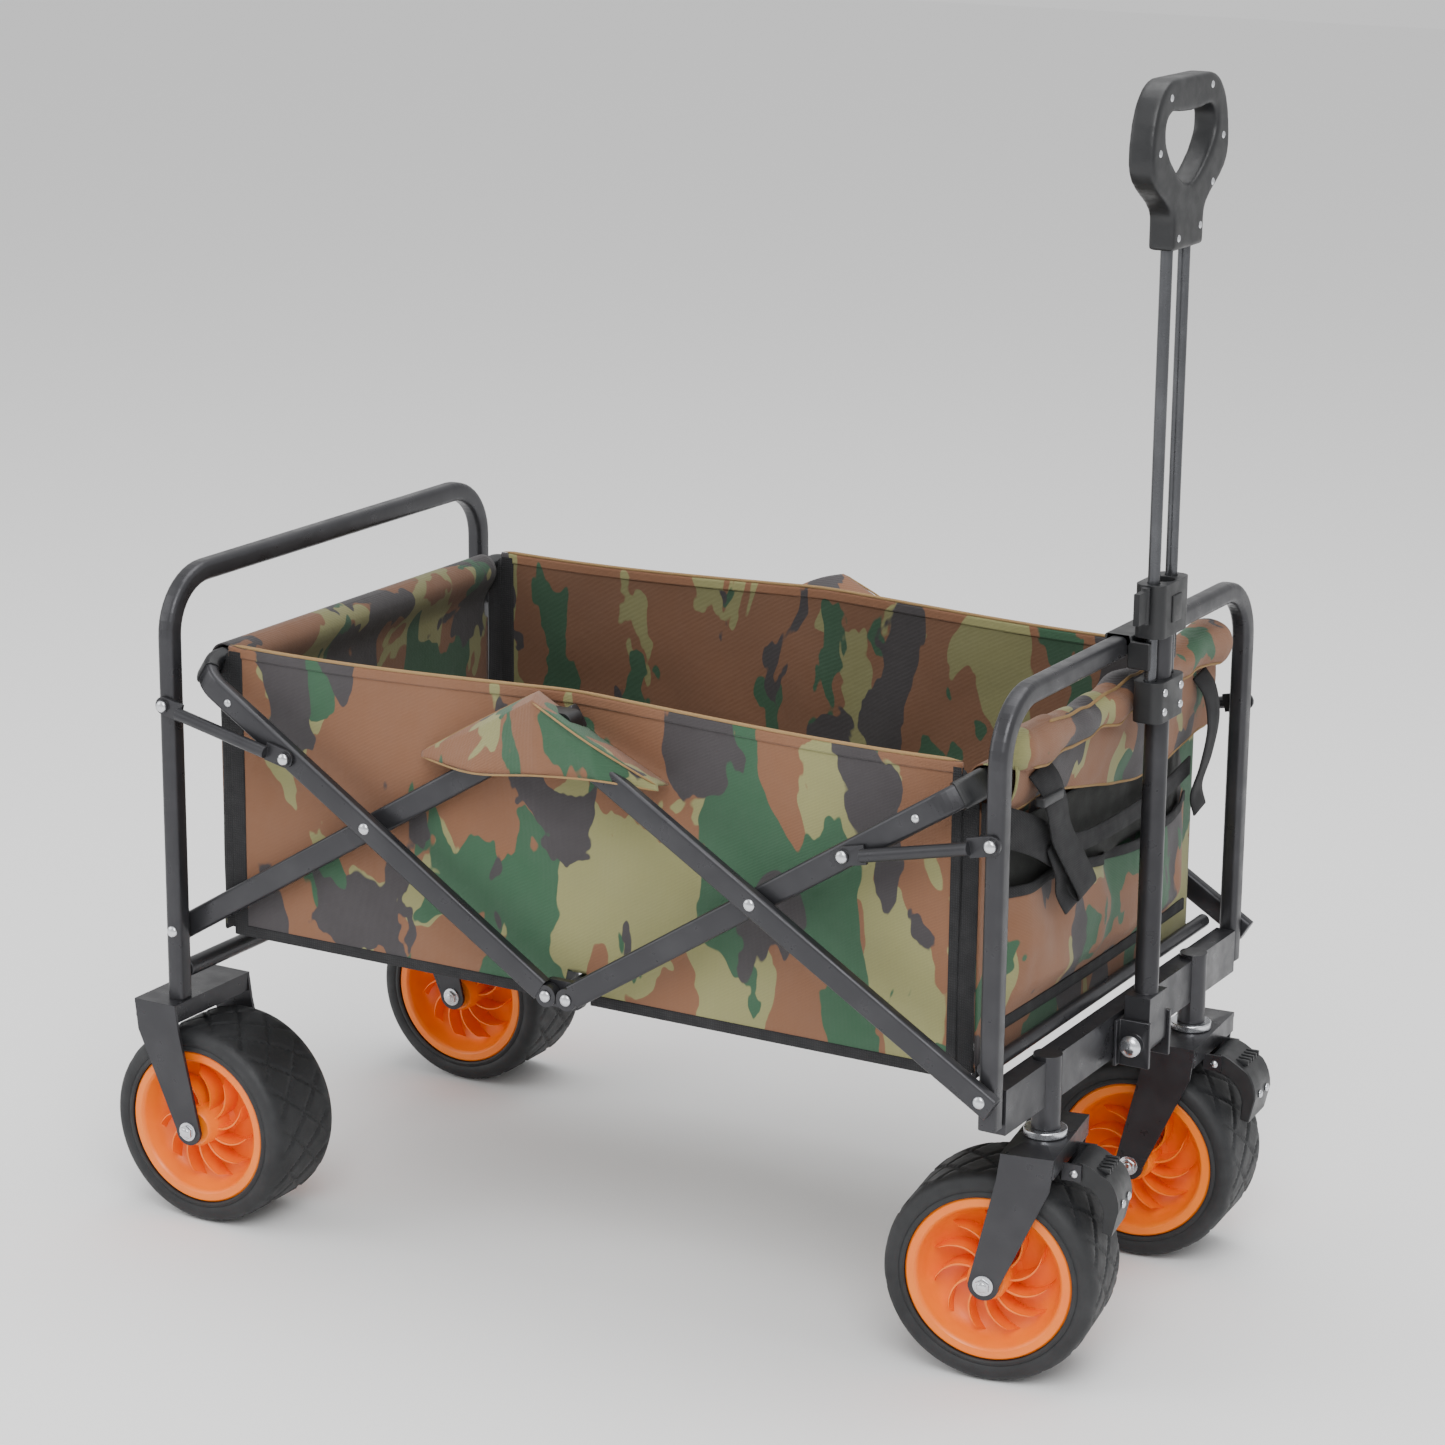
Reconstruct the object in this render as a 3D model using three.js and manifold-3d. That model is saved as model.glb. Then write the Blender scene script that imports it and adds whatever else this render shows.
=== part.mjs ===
// Folding garden wagon with a telescopic pull handle, millimetres.
// +X points forward to the handle end, +Y to the wagon's left, +Z up, wheels on z = 0.
// Everything is laid out from the rear leg plane (x = 0) and centred at the end.
import * as THREE from "three";
import { mergeVertices } from "three/addons/utils/BufferGeometryUtils.js";
import Module from "manifold-3d";

const wasm = await Module();
wasm.setup();

// ---------------------------------------------------------------- driving dimensions
const GAP = 0.3; // between pieces that rest on each other
const PIN_CLEARANCE = 0.4; // pin to bore, on the radius

// Frame layout
const LEG_SPACING = 793; // rear leg plane to front leg plane
const LEG_HALF_TRACK = 242; // centre plane to a leg's centre line
const HOOP_TOP = 583; // centre line of each hoop's top bar
const HOOP_BEND = 50;
const HOOP_DEEP = 18; // hoop tube across its own bend plane's width
const HOOP_WIDE = 16; // hoop tube along X
const TUBE_CORNER = 5;
const FRONT_FOOT = 240; // height of the front legs' lower ends
const LOWER_BAR_HEIGHT = 229;
const ROUND_BAR = 8; // radius of the round cross bars

// Scissor arms
const ARM_RISE = 242.9755; // low arm pivot to the top pivot at rest
const U_LOW_HEIGHT = 278.0961; // the two U tubes' low pivots at rest
const ARM_PIVOT_HEIGHT = 268;
const CROSS_INSET = 0.260403531 * LEG_SPACING; // leg plane to the crossing pivot
const TOP_BAR_INSET = 30; // leg plane to the cross part of a U tube
const CENTRE_PIVOT_OFFSET = 10; // U tube pivots either side of the middle
const ARM_WIDE = 21;
const ARM_THICK = 11;
const ARM_CORNER = 3;
const ARM_END = 11; // arm past its end pivot
const U_END_RADIUS = 9;
const U_END_LENGTH = 8;
const U_BEND = 28;
const ARM_LAYER_GAP = 1.5;
const TIE_OFFSET = 20; // arm pivot to the tie bar
const TIE_RADIUS = 6;
const PIN_RADIUS = 3.4;
const RIVET_HEAD_RADIUS = 6;
const RIVET_HEAD = 2.4;
const SPACER_RADIUS = 7;
const FREE_PIVOT_CLEARANCE = 1.4; // front U tube pin in its hole, on the radius

// Links between legs and U tubes
const LINK_HEIGHT = 474; // pivot on the leg
const LINK_INSET = 128; // leg plane to the pivot on the U tube
const LINK_RADIUS = 5.5;
const LINK_PLATE = 3;
const LINK_TAB = 20; // flattened length at each end
const LINK_TAB_RADIUS = 8;
const LINK_PIN_REACH = 14; // link pin into the leg

// Wheels
const WHEEL_RADIUS = 90;
const TYRE_HALF_WIDTH = 44;
const TYRE_BORE = 70.6;
const RIM_WALL = 4;
const RIM_HALF_WIDTH = TYRE_HALF_WIDTH - 3;
const RIM_WEB = 5;
const HUB_RADIUS = 15;
const HUB_HALF_LENGTH = TYRE_HALF_WIDTH + 4;
const FIN_COUNT = 10;
const FIN_THICK = 3;
const FIN_HALF_DEPTH = TYRE_HALF_WIDTH - 17;
const WHEEL_SIDES = 30;
const AXLE_RADIUS = 5;
const AXLE_HEAD_RADIUS = 9;
const AXLE_HEAD = 5;

// Forks
const FORK_TOP = 205;
const FORK_HALF_WIDTH = TYRE_HALF_WIDTH + 11;
const FORK_HALF_LENGTH = 22;
const FORK_PLATE = 4;
const FORK_SIDE = 3;
const FORK_TRAIL = 33; // fork centre to axle, along the wagon
const FORK_END_RADIUS = 13;
const FORK_WEB_DROP = 15;
const REAR_FORK_X = -11;
const REAR_FORK_HALF_TRACK = LEG_HALF_TRACK - 32;

// Casters
const CASTER_X = LEG_SPACING + 5;
const CASTER_HALF_TRACK = LEG_HALF_TRACK - 94;
const CASTER_TURN_RIGHT = 9.6; // degrees, how the near caster stands
const CASTER_TURN_LEFT = 4.3;
const KINGPIN_RADIUS = 5;
const KINGPIN_HEIGHT = 30;
const BEARING_RADIUS = 18;
const BEARING_HEIGHT = 6;
const POST_RADIUS = 12;
const POST_TOP = 274;
const BEAM_BOTTOM = 232;
const BEAM_TOP = 270;
const BEAM_WIDE = 18;

// Brake pedals, in the fork's own frame
const BRAKE_PIVOT_X = 31;
const BRAKE_PIVOT_Z = 184;
const BRAKE_PIN_RADIUS = 3;
const BRAKE_HALF_WIDTH = 22;
const BRAKE_EAR = 3;

// Handle
const HANDLE_X = LEG_SPACING + 25;
const HANDLE_PIVOT_HEIGHT = 246;
const HANDLE_TUBE_RADIUS = 10;
const HANDLE_TUBE_TOP = 630;
const FOOT_RADIUS = 11.5;
const FOOT_HALF_WIDTH = 18;
const FOOT_TOP = 286;
const BRACKET_PLATE = 3;
const BRACKET_CHEEK = 4;
const BRACKET_HALF_HEIGHT = 20;
const BRACKET_REACH = 14;
const PIVOT_BOLT_RADIUS = 5;
const PIVOT_HEAD_RADIUS = 9;
const ROD_RADIUS = 5;
const ROD_HALF_SPACING = 17.5;
const ROD_BOTTOM = 528;
const ROD_TOP = 940;
const SLIDER_BOTTOM = 522;
const SLIDER_TOP = 556;
const COLLAR_BOTTOM = 593;
const COLLAR_TOP = 637;
const COLLAR_HALF_LENGTH = 13;
const COLLAR_HALF_WIDTH = 29;
const LEVER_WIDE = 18;
const LEVER_THICK = 5;
const LEVER_BARREL = 3.5;
const LEVER_BOTTOM = 608;
const LEVER_TOP = 634;
const CLIP_BOTTOM = 566;
const CLIP_TOP = 589;
const CLIP_WALL = 4;

// Grip
const GRIP_TOP = 1040;
const GRIP_BOTTOM = 905;
const GRIP_HALF_WIDTH = 76;
const GRIP_BAR = 25; // thickness of the loop in its own plane
const GRIP_NECK_HALF_WIDTH = 30;
const GRIP_NECK_TOP = 930;
const GRIP_HALF_THICK = 11;

// Fabric
const CLOTH = 3; // thickness of a wall of padded cloth
const SIDE_WALL_Y = LEG_HALF_TRACK - ARM_THICK - 15;
const CLOTH_BOTTOM = 272;
const CLOTH_TOP = 527;
const END_WALL_HALF_WIDTH = SIDE_WALL_Y - 4;
const SIDE_WALL_END_TOP = 520;
const SIDE_WALL_SAG = 14;
const SLEEVE_RADIUS = 15;
const SLEEVE_CLOTH = 2;
const SLEEVE_HALF_LENGTH = SIDE_WALL_Y - 11;
const ROLL_RADIUS = 16;
const ROLL_HALF_LENGTH = SIDE_WALL_Y - 16;
const ROLL_FORWARD = 22; // U tube's cross part to the roll
const ROLL_HEIGHT = 538;
const SIDE_WALL_INSET = 40;
const FLOOR_THICK = 4;
const FLOOR_HEIGHT = 290;
const FLOOR_HALF_WIDTH = SIDE_WALL_Y - 5;
const FLOOR_PANEL_LENGTH = LEG_SPACING / 2 - 74.5;
const FLOOR_HINGE_OFFSET = 4; // end wall to the floor panel's hinge line
const FLOOR_CENTRE_HALF_LENGTH = 34;
const POCKET_DEEP = 17;
const POCKET_HALF_WIDTH = SIDE_WALL_Y - 46;
const POCKET_BOTTOM = 322;
const POCKET_TOP = 432;
const FLAP_HALF_LENGTH = 121;
const FLAP_LOW = 458;
const FLAP_SHOULDER = 474;
const FLAP_TOP = 534;
const FLAP_THICK = 1.5;

// ---------------------------------------------------------------- derived places
const rad = THREE.MathUtils.degToRad;
const MIDDLE = LEG_SPACING / 2;
const ARM_TILT = THREE.MathUtils.radToDeg(Math.atan2(ARM_RISE, MIDDLE));
const ARM_LENGTH = MIDDLE / Math.cos(rad(ARM_TILT));
const TOP_PIVOT_HEIGHT = ARM_PIVOT_HEIGHT + ARM_RISE;
const CROSS_HEIGHT = ARM_PIVOT_HEIGHT + CROSS_INSET * Math.tan(rad(ARM_TILT));
const CROSS_ALONG = CROSS_INSET / Math.cos(rad(ARM_TILT));
const U_LOW_INSET = MIDDLE - CENTRE_PIVOT_OFFSET;
const U_SPAN = U_LOW_INSET - TOP_BAR_INSET;
const TOP_TUBE_TILT = THREE.MathUtils.radToDeg(
  Math.atan2(CROSS_HEIGHT - U_LOW_HEIGHT, U_LOW_INSET - CROSS_INSET),
);
const U_LENGTH = U_SPAN / Math.cos(rad(TOP_TUBE_TILT));
const U_CROSS_ALONG = (U_LOW_INSET - CROSS_INSET) / Math.cos(rad(TOP_TUBE_TILT));
const TOP_BAR_HEIGHT = U_LOW_HEIGHT + U_SPAN * Math.tan(rad(TOP_TUBE_TILT));
const LINK_END_HEIGHT = U_LOW_HEIGHT + (U_LOW_INSET - LINK_INSET) * Math.tan(rad(TOP_TUBE_TILT));
const LEG_OUTER = LEG_HALF_TRACK + HOOP_DEEP / 2;
const LEG_INNER = LEG_HALF_TRACK - HOOP_DEEP / 2;
const U_LAYER = LEG_OUTER - ARM_THICK / 2; // U tubes flush with the legs' outer faces
const REAR_ARM_LAYER = LEG_INNER - GAP - ARM_THICK / 2;
const FRONT_ARM_LAYER = LEG_OUTER + ARM_LAYER_GAP + ARM_THICK / 2;
const RIM_RADIUS = TYRE_BORE - GAP;

// ---------------------------------------------------------------- finishes
const steel = new THREE.MeshStandardMaterial({ color: 0x3b3c3e, roughness: 0.42, metalness: 0.55 });
const zinc = new THREE.MeshStandardMaterial({ color: 0xc9cbcd, roughness: 0.3, metalness: 0.95 });
const rubber = new THREE.MeshStandardMaterial({ color: 0x2a2b2d, roughness: 0.7, metalness: 0 });
const orange = new THREE.MeshStandardMaterial({ color: 0xf26a14, roughness: 0.4, metalness: 0 });
const blackPlastic = new THREE.MeshStandardMaterial({ color: 0x202123, roughness: 0.5, metalness: 0 });
const rodMetal = new THREE.MeshStandardMaterial({ color: 0x4a4b4d, roughness: 0.25, metalness: 0.8 });
const camouflage = new THREE.MeshStandardMaterial({ color: 0x8a6442, roughness: 0.85, metalness: 0 });

// ---------------------------------------------------------------- solid helpers
function solid(geometry) {
  const bare = new THREE.BufferGeometry();
  bare.setAttribute("position", geometry.getAttribute("position"));
  bare.setIndex(geometry.index);
  const merged = mergeVertices(bare, 1e-4);
  const mesh = new wasm.Mesh({
    numProp: 3,
    vertProperties: new Float32Array(merged.getAttribute("position").array),
    triVerts: new Uint32Array(merged.index.array),
  });
  return new wasm.Manifold(mesh);
}

function geometryOf(body) {
  const made = body.getMesh();
  const geometry = new THREE.BufferGeometry();
  geometry.setAttribute("position", new THREE.BufferAttribute(made.vertProperties, made.numProp));
  geometry.setIndex(new THREE.BufferAttribute(made.triVerts, 1));
  geometry.computeVertexNormals();
  return geometry;
}

function combine(base, added, removed = []) {
  let body = solid(base);
  for (const piece of added) body = body.add(solid(piece));
  for (const piece of removed) body = body.subtract(solid(piece));
  return geometryOf(body);
}

// A box between two corners.
function block(x0, x1, y0, y1, z0, z1) {
  const box = new THREE.BoxGeometry(x1 - x0, y1 - y0, z1 - z0);
  return box.translate((x0 + x1) / 2, (y0 + y1) / 2, (z0 + z1) / 2);
}

// A cylinder along Y from y0 to y1 at x, z.
function pinY(radius, y0, y1, x = 0, z = 0, sides = 16) {
  const pin = new THREE.CylinderGeometry(radius, radius, y1 - y0, sides);
  return pin.translate(x, (y0 + y1) / 2, z);
}

// A cylinder along Z from z0 to z1 at x, y.
function pinZ(radius, z0, z1, x = 0, y = 0, sides = 20) {
  const pin = new THREE.CylinderGeometry(radius, radius, z1 - z0, sides);
  return pin.rotateX(Math.PI / 2).translate(x, y, (z0 + z1) / 2);
}

function roundedRectangle(width, height, corner) {
  const x = width / 2;
  const y = height / 2;
  const shape = new THREE.Shape();
  shape.moveTo(-x + corner, -y);
  shape.lineTo(x - corner, -y);
  shape.absarc(x - corner, -y + corner, corner, -Math.PI / 2, 0);
  shape.lineTo(x, y - corner);
  shape.absarc(x - corner, y - corner, corner, 0, Math.PI / 2);
  shape.lineTo(-x + corner, y);
  shape.absarc(-x + corner, y - corner, corner, Math.PI / 2, Math.PI);
  shape.lineTo(-x, -y + corner);
  shape.absarc(-x + corner, -y + corner, corner, Math.PI, 1.5 * Math.PI);
  return shape;
}

// An outline in the XZ plane given a thickness along Y, centred on y = 0.
function plateXZ(shape, thickness, curveSegments = 6) {
  const plate = new THREE.ExtrudeGeometry(shape, { depth: thickness, bevelEnabled: false, curveSegments });
  return plate.translate(0, 0, -thickness / 2).rotateX(Math.PI / 2);
}

// An outline in the YZ plane given a thickness along X, centred on x = 0.
function plateYZ(shape, thickness, curveSegments = 10) {
  const plate = new THREE.ExtrudeGeometry(shape, { depth: thickness, bevelEnabled: false, curveSegments });
  return plate.translate(0, 0, -thickness / 2).rotateX(Math.PI / 2).rotateZ(Math.PI / 2);
}

// A route of straight runs and round bends with stations only where it turns.
class BentRoute extends THREE.Curve {
  constructor(corners, radius, bendSteps = 5) {
    super();
    this.stations = [corners[0].clone()];
    for (let i = 1; i < corners.length - 1; i += 1) {
      const back = corners[i - 1].clone().sub(corners[i]).normalize();
      const on = corners[i + 1].clone().sub(corners[i]).normalize();
      const turn = Math.PI - back.angleTo(on);
      const reach = radius * Math.tan(turn / 2);
      const centre = back.clone().add(on).normalize().multiplyScalar(radius / Math.cos(turn / 2));
      centre.add(corners[i]);
      const axis = back.clone().cross(on).normalize();
      const arm = back.clone().multiplyScalar(reach).add(corners[i]).sub(centre);
      for (let k = 0; k <= bendSteps; k += 1) {
        const point = arm.clone().applyAxisAngle(axis, (-turn * k) / bendSteps);
        this.stations.push(point.add(centre));
      }
    }
    this.stations.push(corners[corners.length - 1].clone());
  }
  get steps() {
    return this.stations.length - 1;
  }
  getPoint(t, target = new THREE.Vector3()) {
    const at = Math.min(Math.max(t, 0), 1) * this.steps;
    const i = Math.min(Math.floor(at), this.steps - 1);
    return target.lerpVectors(this.stations[i], this.stations[i + 1], at - i);
  }
  getPointAt(u, target) {
    return this.getPoint(u, target);
  }
  getTangentAt(u, target = new THREE.Vector3()) {
    const i = Math.round(u * this.steps);
    const before = this.stations[Math.max(i - 1, 0)];
    const after = this.stations[Math.min(i + 1, this.steps)];
    const here = this.stations[i];
    target.set(0, 0, 0);
    if (i > 0) target.add(here.clone().sub(before).normalize());
    if (i < this.steps) target.add(after.clone().sub(here).normalize());
    return target.normalize();
  }
}

function sweep(route, section, curveSegments = 1) {
  return new THREE.ExtrudeGeometry(section, { steps: route.steps, extrudePath: route, curveSegments });
}

// ---------------------------------------------------------------- scene graph
const wagon = new THREE.Group();
wagon.name = "wagon";

function place(parent, name, geometry, material, x = 0, y = 0, z = 0) {
  const mesh = new THREE.Mesh(geometry, material);
  mesh.name = name;
  mesh.position.set(x, y, z);
  parent.add(mesh);
  return mesh;
}

// A turning point of the wagon: a named group whose origin is the joint's axis point.
function pivot(parent, name, x, y, z, turnY = 0) {
  const group = new THREE.Group();
  group.name = name;
  group.position.set(x, y, z);
  group.rotation.y = turnY;
  parent.add(group);
  return group;
}

const SIDES = [
  ["left", 1],
  ["right", -1],
];

// ---------------------------------------------------------------- wheels
function tyreGeometry() {
  const w = TYRE_HALF_WIDTH;
  const half = [
    [TYRE_BORE, w - 1],
    [WHEEL_RADIUS - 7, w],
    [WHEEL_RADIUS - 2, w - 6],
    [WHEEL_RADIUS, w - 14],
  ];
  const profile = half.map(([r, y]) => new THREE.Vector2(r, -y));
  for (const [r, y] of half.toReversed()) profile.push(new THREE.Vector2(r, y));
  profile.push(profile[0].clone());
  return new THREE.LatheGeometry(profile, WHEEL_SIDES);
}

// One blade of the wheel's fan: a strip that curves from the hub to the rim.
function finGeometry(angle) {
  const inner = HUB_RADIUS - 2;
  const outer = RIM_RADIUS - RIM_WALL / 2;
  const shape = new THREE.Shape();
  shape.moveTo(inner, -FIN_THICK / 2);
  shape.quadraticCurveTo((inner + outer) / 2, 10, outer, -FIN_THICK / 2 - 6);
  shape.lineTo(outer, FIN_THICK / 2 - 6);
  shape.quadraticCurveTo((inner + outer) / 2, 10 + FIN_THICK, inner, FIN_THICK / 2);
  return plateXZ(shape, 2 * FIN_HALF_DEPTH, 2).rotateY(angle);
}

function rimGeometry() {
  const bore = AXLE_RADIUS + PIN_CLEARANCE;
  const barrel = RIM_RADIUS - RIM_WALL;
  const half = [
    [bore, HUB_HALF_LENGTH],
    [HUB_RADIUS, HUB_HALF_LENGTH],
    [HUB_RADIUS + 3, RIM_WEB],
    [barrel - 4, RIM_WEB],
    [barrel, RIM_HALF_WIDTH],
    [RIM_RADIUS, RIM_HALF_WIDTH],
  ];
  const profile = half.map(([r, y]) => new THREE.Vector2(r, y));
  for (const [r, y] of half.toReversed()) profile.push(new THREE.Vector2(r, -y));
  profile.push(profile[0].clone());
  profile.reverse();
  const fins = [];
  for (let i = 0; i < FIN_COUNT; i += 1) fins.push(finGeometry((2 * Math.PI * i) / FIN_COUNT));
  return combine(new THREE.LatheGeometry(profile, WHEEL_SIDES), fins);
}

function axleGeometry() {
  const reach = FORK_HALF_WIDTH + GAP;
  const head = pinY(AXLE_HEAD_RADIUS, -reach - AXLE_HEAD, -reach, 0, 0, 20);
  const nut = pinY(AXLE_HEAD_RADIUS, reach, reach + AXLE_HEAD, 0, 0, 6);
  return combine(pinY(AXLE_RADIUS, -reach - 1, reach + 1), [head, nut]);
}

const tyre = tyreGeometry();
const rim = rimGeometry();
const axle = axleGeometry();

function addWheel(parent, end, side) {
  const wheel = pivot(parent, `${end}_wheel_${side}_spin`, -FORK_TRAIL, 0, WHEEL_RADIUS);
  place(wheel, `${end}_tyre_${side}`, tyre, rubber);
  place(wheel, `${end}_rim_${side}`, rim, orange);
  place(parent, `${end}_axle_${side}`, axle, zinc, -FORK_TRAIL, 0, WHEEL_RADIUS);
}

// ---------------------------------------------------------------- forks
// Fork in its own frame: kingpin axis at x = 0, axle trailing at -FORK_TRAIL.
function forkSide(y) {
  const top = FORK_TOP - FORK_PLATE / 2;
  const shape = new THREE.Shape();
  shape.moveTo(-FORK_HALF_LENGTH, top);
  shape.lineTo(-FORK_HALF_LENGTH - 3, top - 22);
  shape.absarc(-FORK_TRAIL, WHEEL_RADIUS, FORK_END_RADIUS, Math.PI, 2 * Math.PI);
  shape.lineTo(FORK_HALF_LENGTH - 3, top - 26);
  shape.lineTo(FORK_HALF_LENGTH, top);
  return plateXZ(shape, FORK_SIDE, 8).translate(0, y, 0);
}

function forkGeometry(extras = []) {
  const plate = block(
    -FORK_HALF_LENGTH, FORK_HALF_LENGTH, -FORK_HALF_WIDTH, FORK_HALF_WIDTH,
    FORK_TOP - FORK_PLATE, FORK_TOP,
  );
  const sideY = FORK_HALF_WIDTH - FORK_SIDE / 2;
  const webTop = FORK_TOP - FORK_PLATE / 2;
  const webs = [-1, 1].map((end) => {
    const face = end * FORK_HALF_LENGTH;
    const inner = face - end * FORK_SIDE;
    return block(
      Math.min(face, inner), Math.max(face, inner), -sideY, sideY,
      webTop - FORK_WEB_DROP, webTop,
    );
  });
  const bore = pinY(
    AXLE_RADIUS + PIN_CLEARANCE, -FORK_HALF_WIDTH - 1, FORK_HALF_WIDTH + 1,
    -FORK_TRAIL, WHEEL_RADIUS,
  );
  return combine(plate, [forkSide(sideY), forkSide(-sideY), ...webs, ...extras], [bore]);
}

function casterForkGeometry() {
  const ears = [-1, 1].map((side) => {
    const inner = side * (BRAKE_HALF_WIDTH + PIN_CLEARANCE);
    const outer = inner + side * BRAKE_EAR;
    return block(
      FORK_HALF_LENGTH - 1, BRAKE_PIVOT_X + 6, Math.min(inner, outer), Math.max(inner, outer),
      BRAKE_PIVOT_Z - 6, BRAKE_PIVOT_Z + 8,
    );
  });
  const pin = pinY(
    BRAKE_PIN_RADIUS, -BRAKE_HALF_WIDTH - 2, BRAKE_HALF_WIDTH + 2, BRAKE_PIVOT_X, BRAKE_PIVOT_Z, 12,
  );
  const kingpin = pinZ(KINGPIN_RADIUS, FORK_TOP - 1, FORK_TOP + KINGPIN_HEIGHT);
  return forkGeometry([...ears, pin, kingpin]);
}

function brakeGeometry() {
  const shape = new THREE.Shape();
  shape.moveTo(26, 189);
  shape.quadraticCurveTo(34, 196, 44, 190);
  shape.lineTo(60, 180);
  shape.quadraticCurveTo(68, 170, 68, 156);
  shape.lineTo(63, 134);
  shape.lineTo(55, 136);
  shape.lineTo(56, 152);
  shape.quadraticCurveTo(54, 164, 44, 172);
  shape.lineTo(28, 177);
  const bore = pinY(
    BRAKE_PIN_RADIUS + PIN_CLEARANCE, -BRAKE_HALF_WIDTH - 1, BRAKE_HALF_WIDTH + 1,
    BRAKE_PIVOT_X, BRAKE_PIVOT_Z, 12,
  );
  return combine(plateXZ(shape, 2 * BRAKE_HALF_WIDTH, 4), [], [bore]);
}

// ---------------------------------------------------------------- end frames
function hoopGeometry(foot) {
  const y = LEG_HALF_TRACK;
  const corners = [
    new THREE.Vector3(0, -y, foot),
    new THREE.Vector3(0, -y, HOOP_TOP),
    new THREE.Vector3(0, y, HOOP_TOP),
    new THREE.Vector3(0, y, foot),
  ];
  const section = roundedRectangle(HOOP_DEEP, HOOP_WIDE, TUBE_CORNER);
  return sweep(new BentRoute(corners, HOOP_BEND), section);
}

// The legs carry bores for the rivets that turn in them, at the given heights.
function boredHoop(foot, heights) {
  const cuts = SIDES.flatMap(([, s]) => heights.map((z) => {
    const ends = [s * (LEG_OUTER + 1), s * (LEG_INNER - 1)];
    return pinY(PIN_RADIUS + PIN_CLEARANCE, Math.min(...ends), Math.max(...ends), 0, z, 12);
  }));
  return combine(hoopGeometry(foot), [], cuts);
}

// Rivet whose head stands on an outer face; side is +1 on the left of the wagon.
function rivet(side, face, innerEnd, x = 0, z = 0) {
  const head = face + side * RIVET_HEAD;
  const start = face - side;
  return [
    pinY(RIVET_HEAD_RADIUS, Math.min(start, head), Math.max(start, head), x, z, 14),
    pinY(PIN_RADIUS, Math.min(start, innerEnd), Math.max(start, innerEnd), x, z, 12),
  ];
}

function addRearFrame() {
  const frame = new THREE.Group();
  wagon.add(frame);
  const foot = FORK_TOP + GAP;
  const armInner = REAR_ARM_LAYER - ARM_THICK / 2;
  const rivets = SIDES.flatMap(([, s]) => rivet(s, s * LEG_OUTER, s * armInner, 0, ARM_PIVOT_HEIGHT));
  place(frame, "rear_frame_hoop", combine(boredHoop(foot, [LINK_HEIGHT]), rivets), steel);
  const barEnd = LEG_INNER - GAP;
  place(frame, "rear_lower_bar", pinY(ROUND_BAR, -barEnd, barEnd), steel, 0, 0, LOWER_BAR_HEIGHT);
  for (const [name, side] of SIDES) {
    const corner = pivot(frame, `rear_corner_${name}`, REAR_FORK_X, side * REAR_FORK_HALF_TRACK, 0);
    corner.rotation.z = Math.PI;
    place(corner, `rear_fork_${name}`, forkGeometry(), steel);
    addWheel(corner, "rear", name);
  }
  return frame;
}

function beamGeometry() {
  const end = LEG_INNER - GAP;
  const beam = block(
    -BEAM_WIDE / 2, BEAM_WIDE / 2, -end, end, BEAM_BOTTOM, BEAM_TOP,
  );
  const postX = CASTER_X - LEG_SPACING;
  const postBottom = FORK_TOP + BEARING_HEIGHT + 2 * GAP;
  const posts = SIDES.map(([, s]) => pinZ(POST_RADIUS, postBottom, POST_TOP, postX, s * CASTER_HALF_TRACK));
  const boreTop = FORK_TOP + KINGPIN_HEIGHT + 1;
  const bores = SIDES.map(([, s]) =>
    pinZ(KINGPIN_RADIUS + PIN_CLEARANCE, postBottom - 1, boreTop, postX, s * CASTER_HALF_TRACK),
  );
  return combine(beam, posts, bores);
}

function bearingGeometry() {
  const bottom = FORK_TOP + GAP;
  const ring = pinZ(BEARING_RADIUS, bottom, bottom + BEARING_HEIGHT, 0, 0, 24);
  const bore = pinZ(KINGPIN_RADIUS + PIN_CLEARANCE, bottom - 1, bottom + BEARING_HEIGHT + 1);
  return combine(ring, [], [bore]);
}

function bracketGeometry() {
  const face = LEG_SPACING + BEAM_WIDE / 2 + GAP;
  const inner = FOOT_HALF_WIDTH + 0.7;
  const outer = inner + BRACKET_CHEEK;
  const low = HANDLE_PIVOT_HEIGHT - BRACKET_HALF_HEIGHT;
  const high = HANDLE_PIVOT_HEIGHT + BRACKET_HALF_HEIGHT;
  const base = block(face, face + BRACKET_PLATE, -outer - 6, outer + 6, low, high);
  const cheeks = [-1, 1].map((s) => block(
    face + 1, HANDLE_X + BRACKET_REACH,
    Math.min(s * inner, s * outer), Math.max(s * inner, s * outer), low, high,
  ));
  const bolt = pinY(PIVOT_BOLT_RADIUS, -outer - 1, outer + 1, HANDLE_X, HANDLE_PIVOT_HEIGHT);
  const heads = [-1, 1].map((s) => pinY(
    PIVOT_HEAD_RADIUS, Math.min(s * (outer - 1), s * (outer + 7)),
    Math.max(s * (outer - 1), s * (outer + 7)), HANDLE_X, HANDLE_PIVOT_HEIGHT, 20,
  ));
  return combine(base, [...cheeks, bolt, ...heads]);
}

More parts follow.
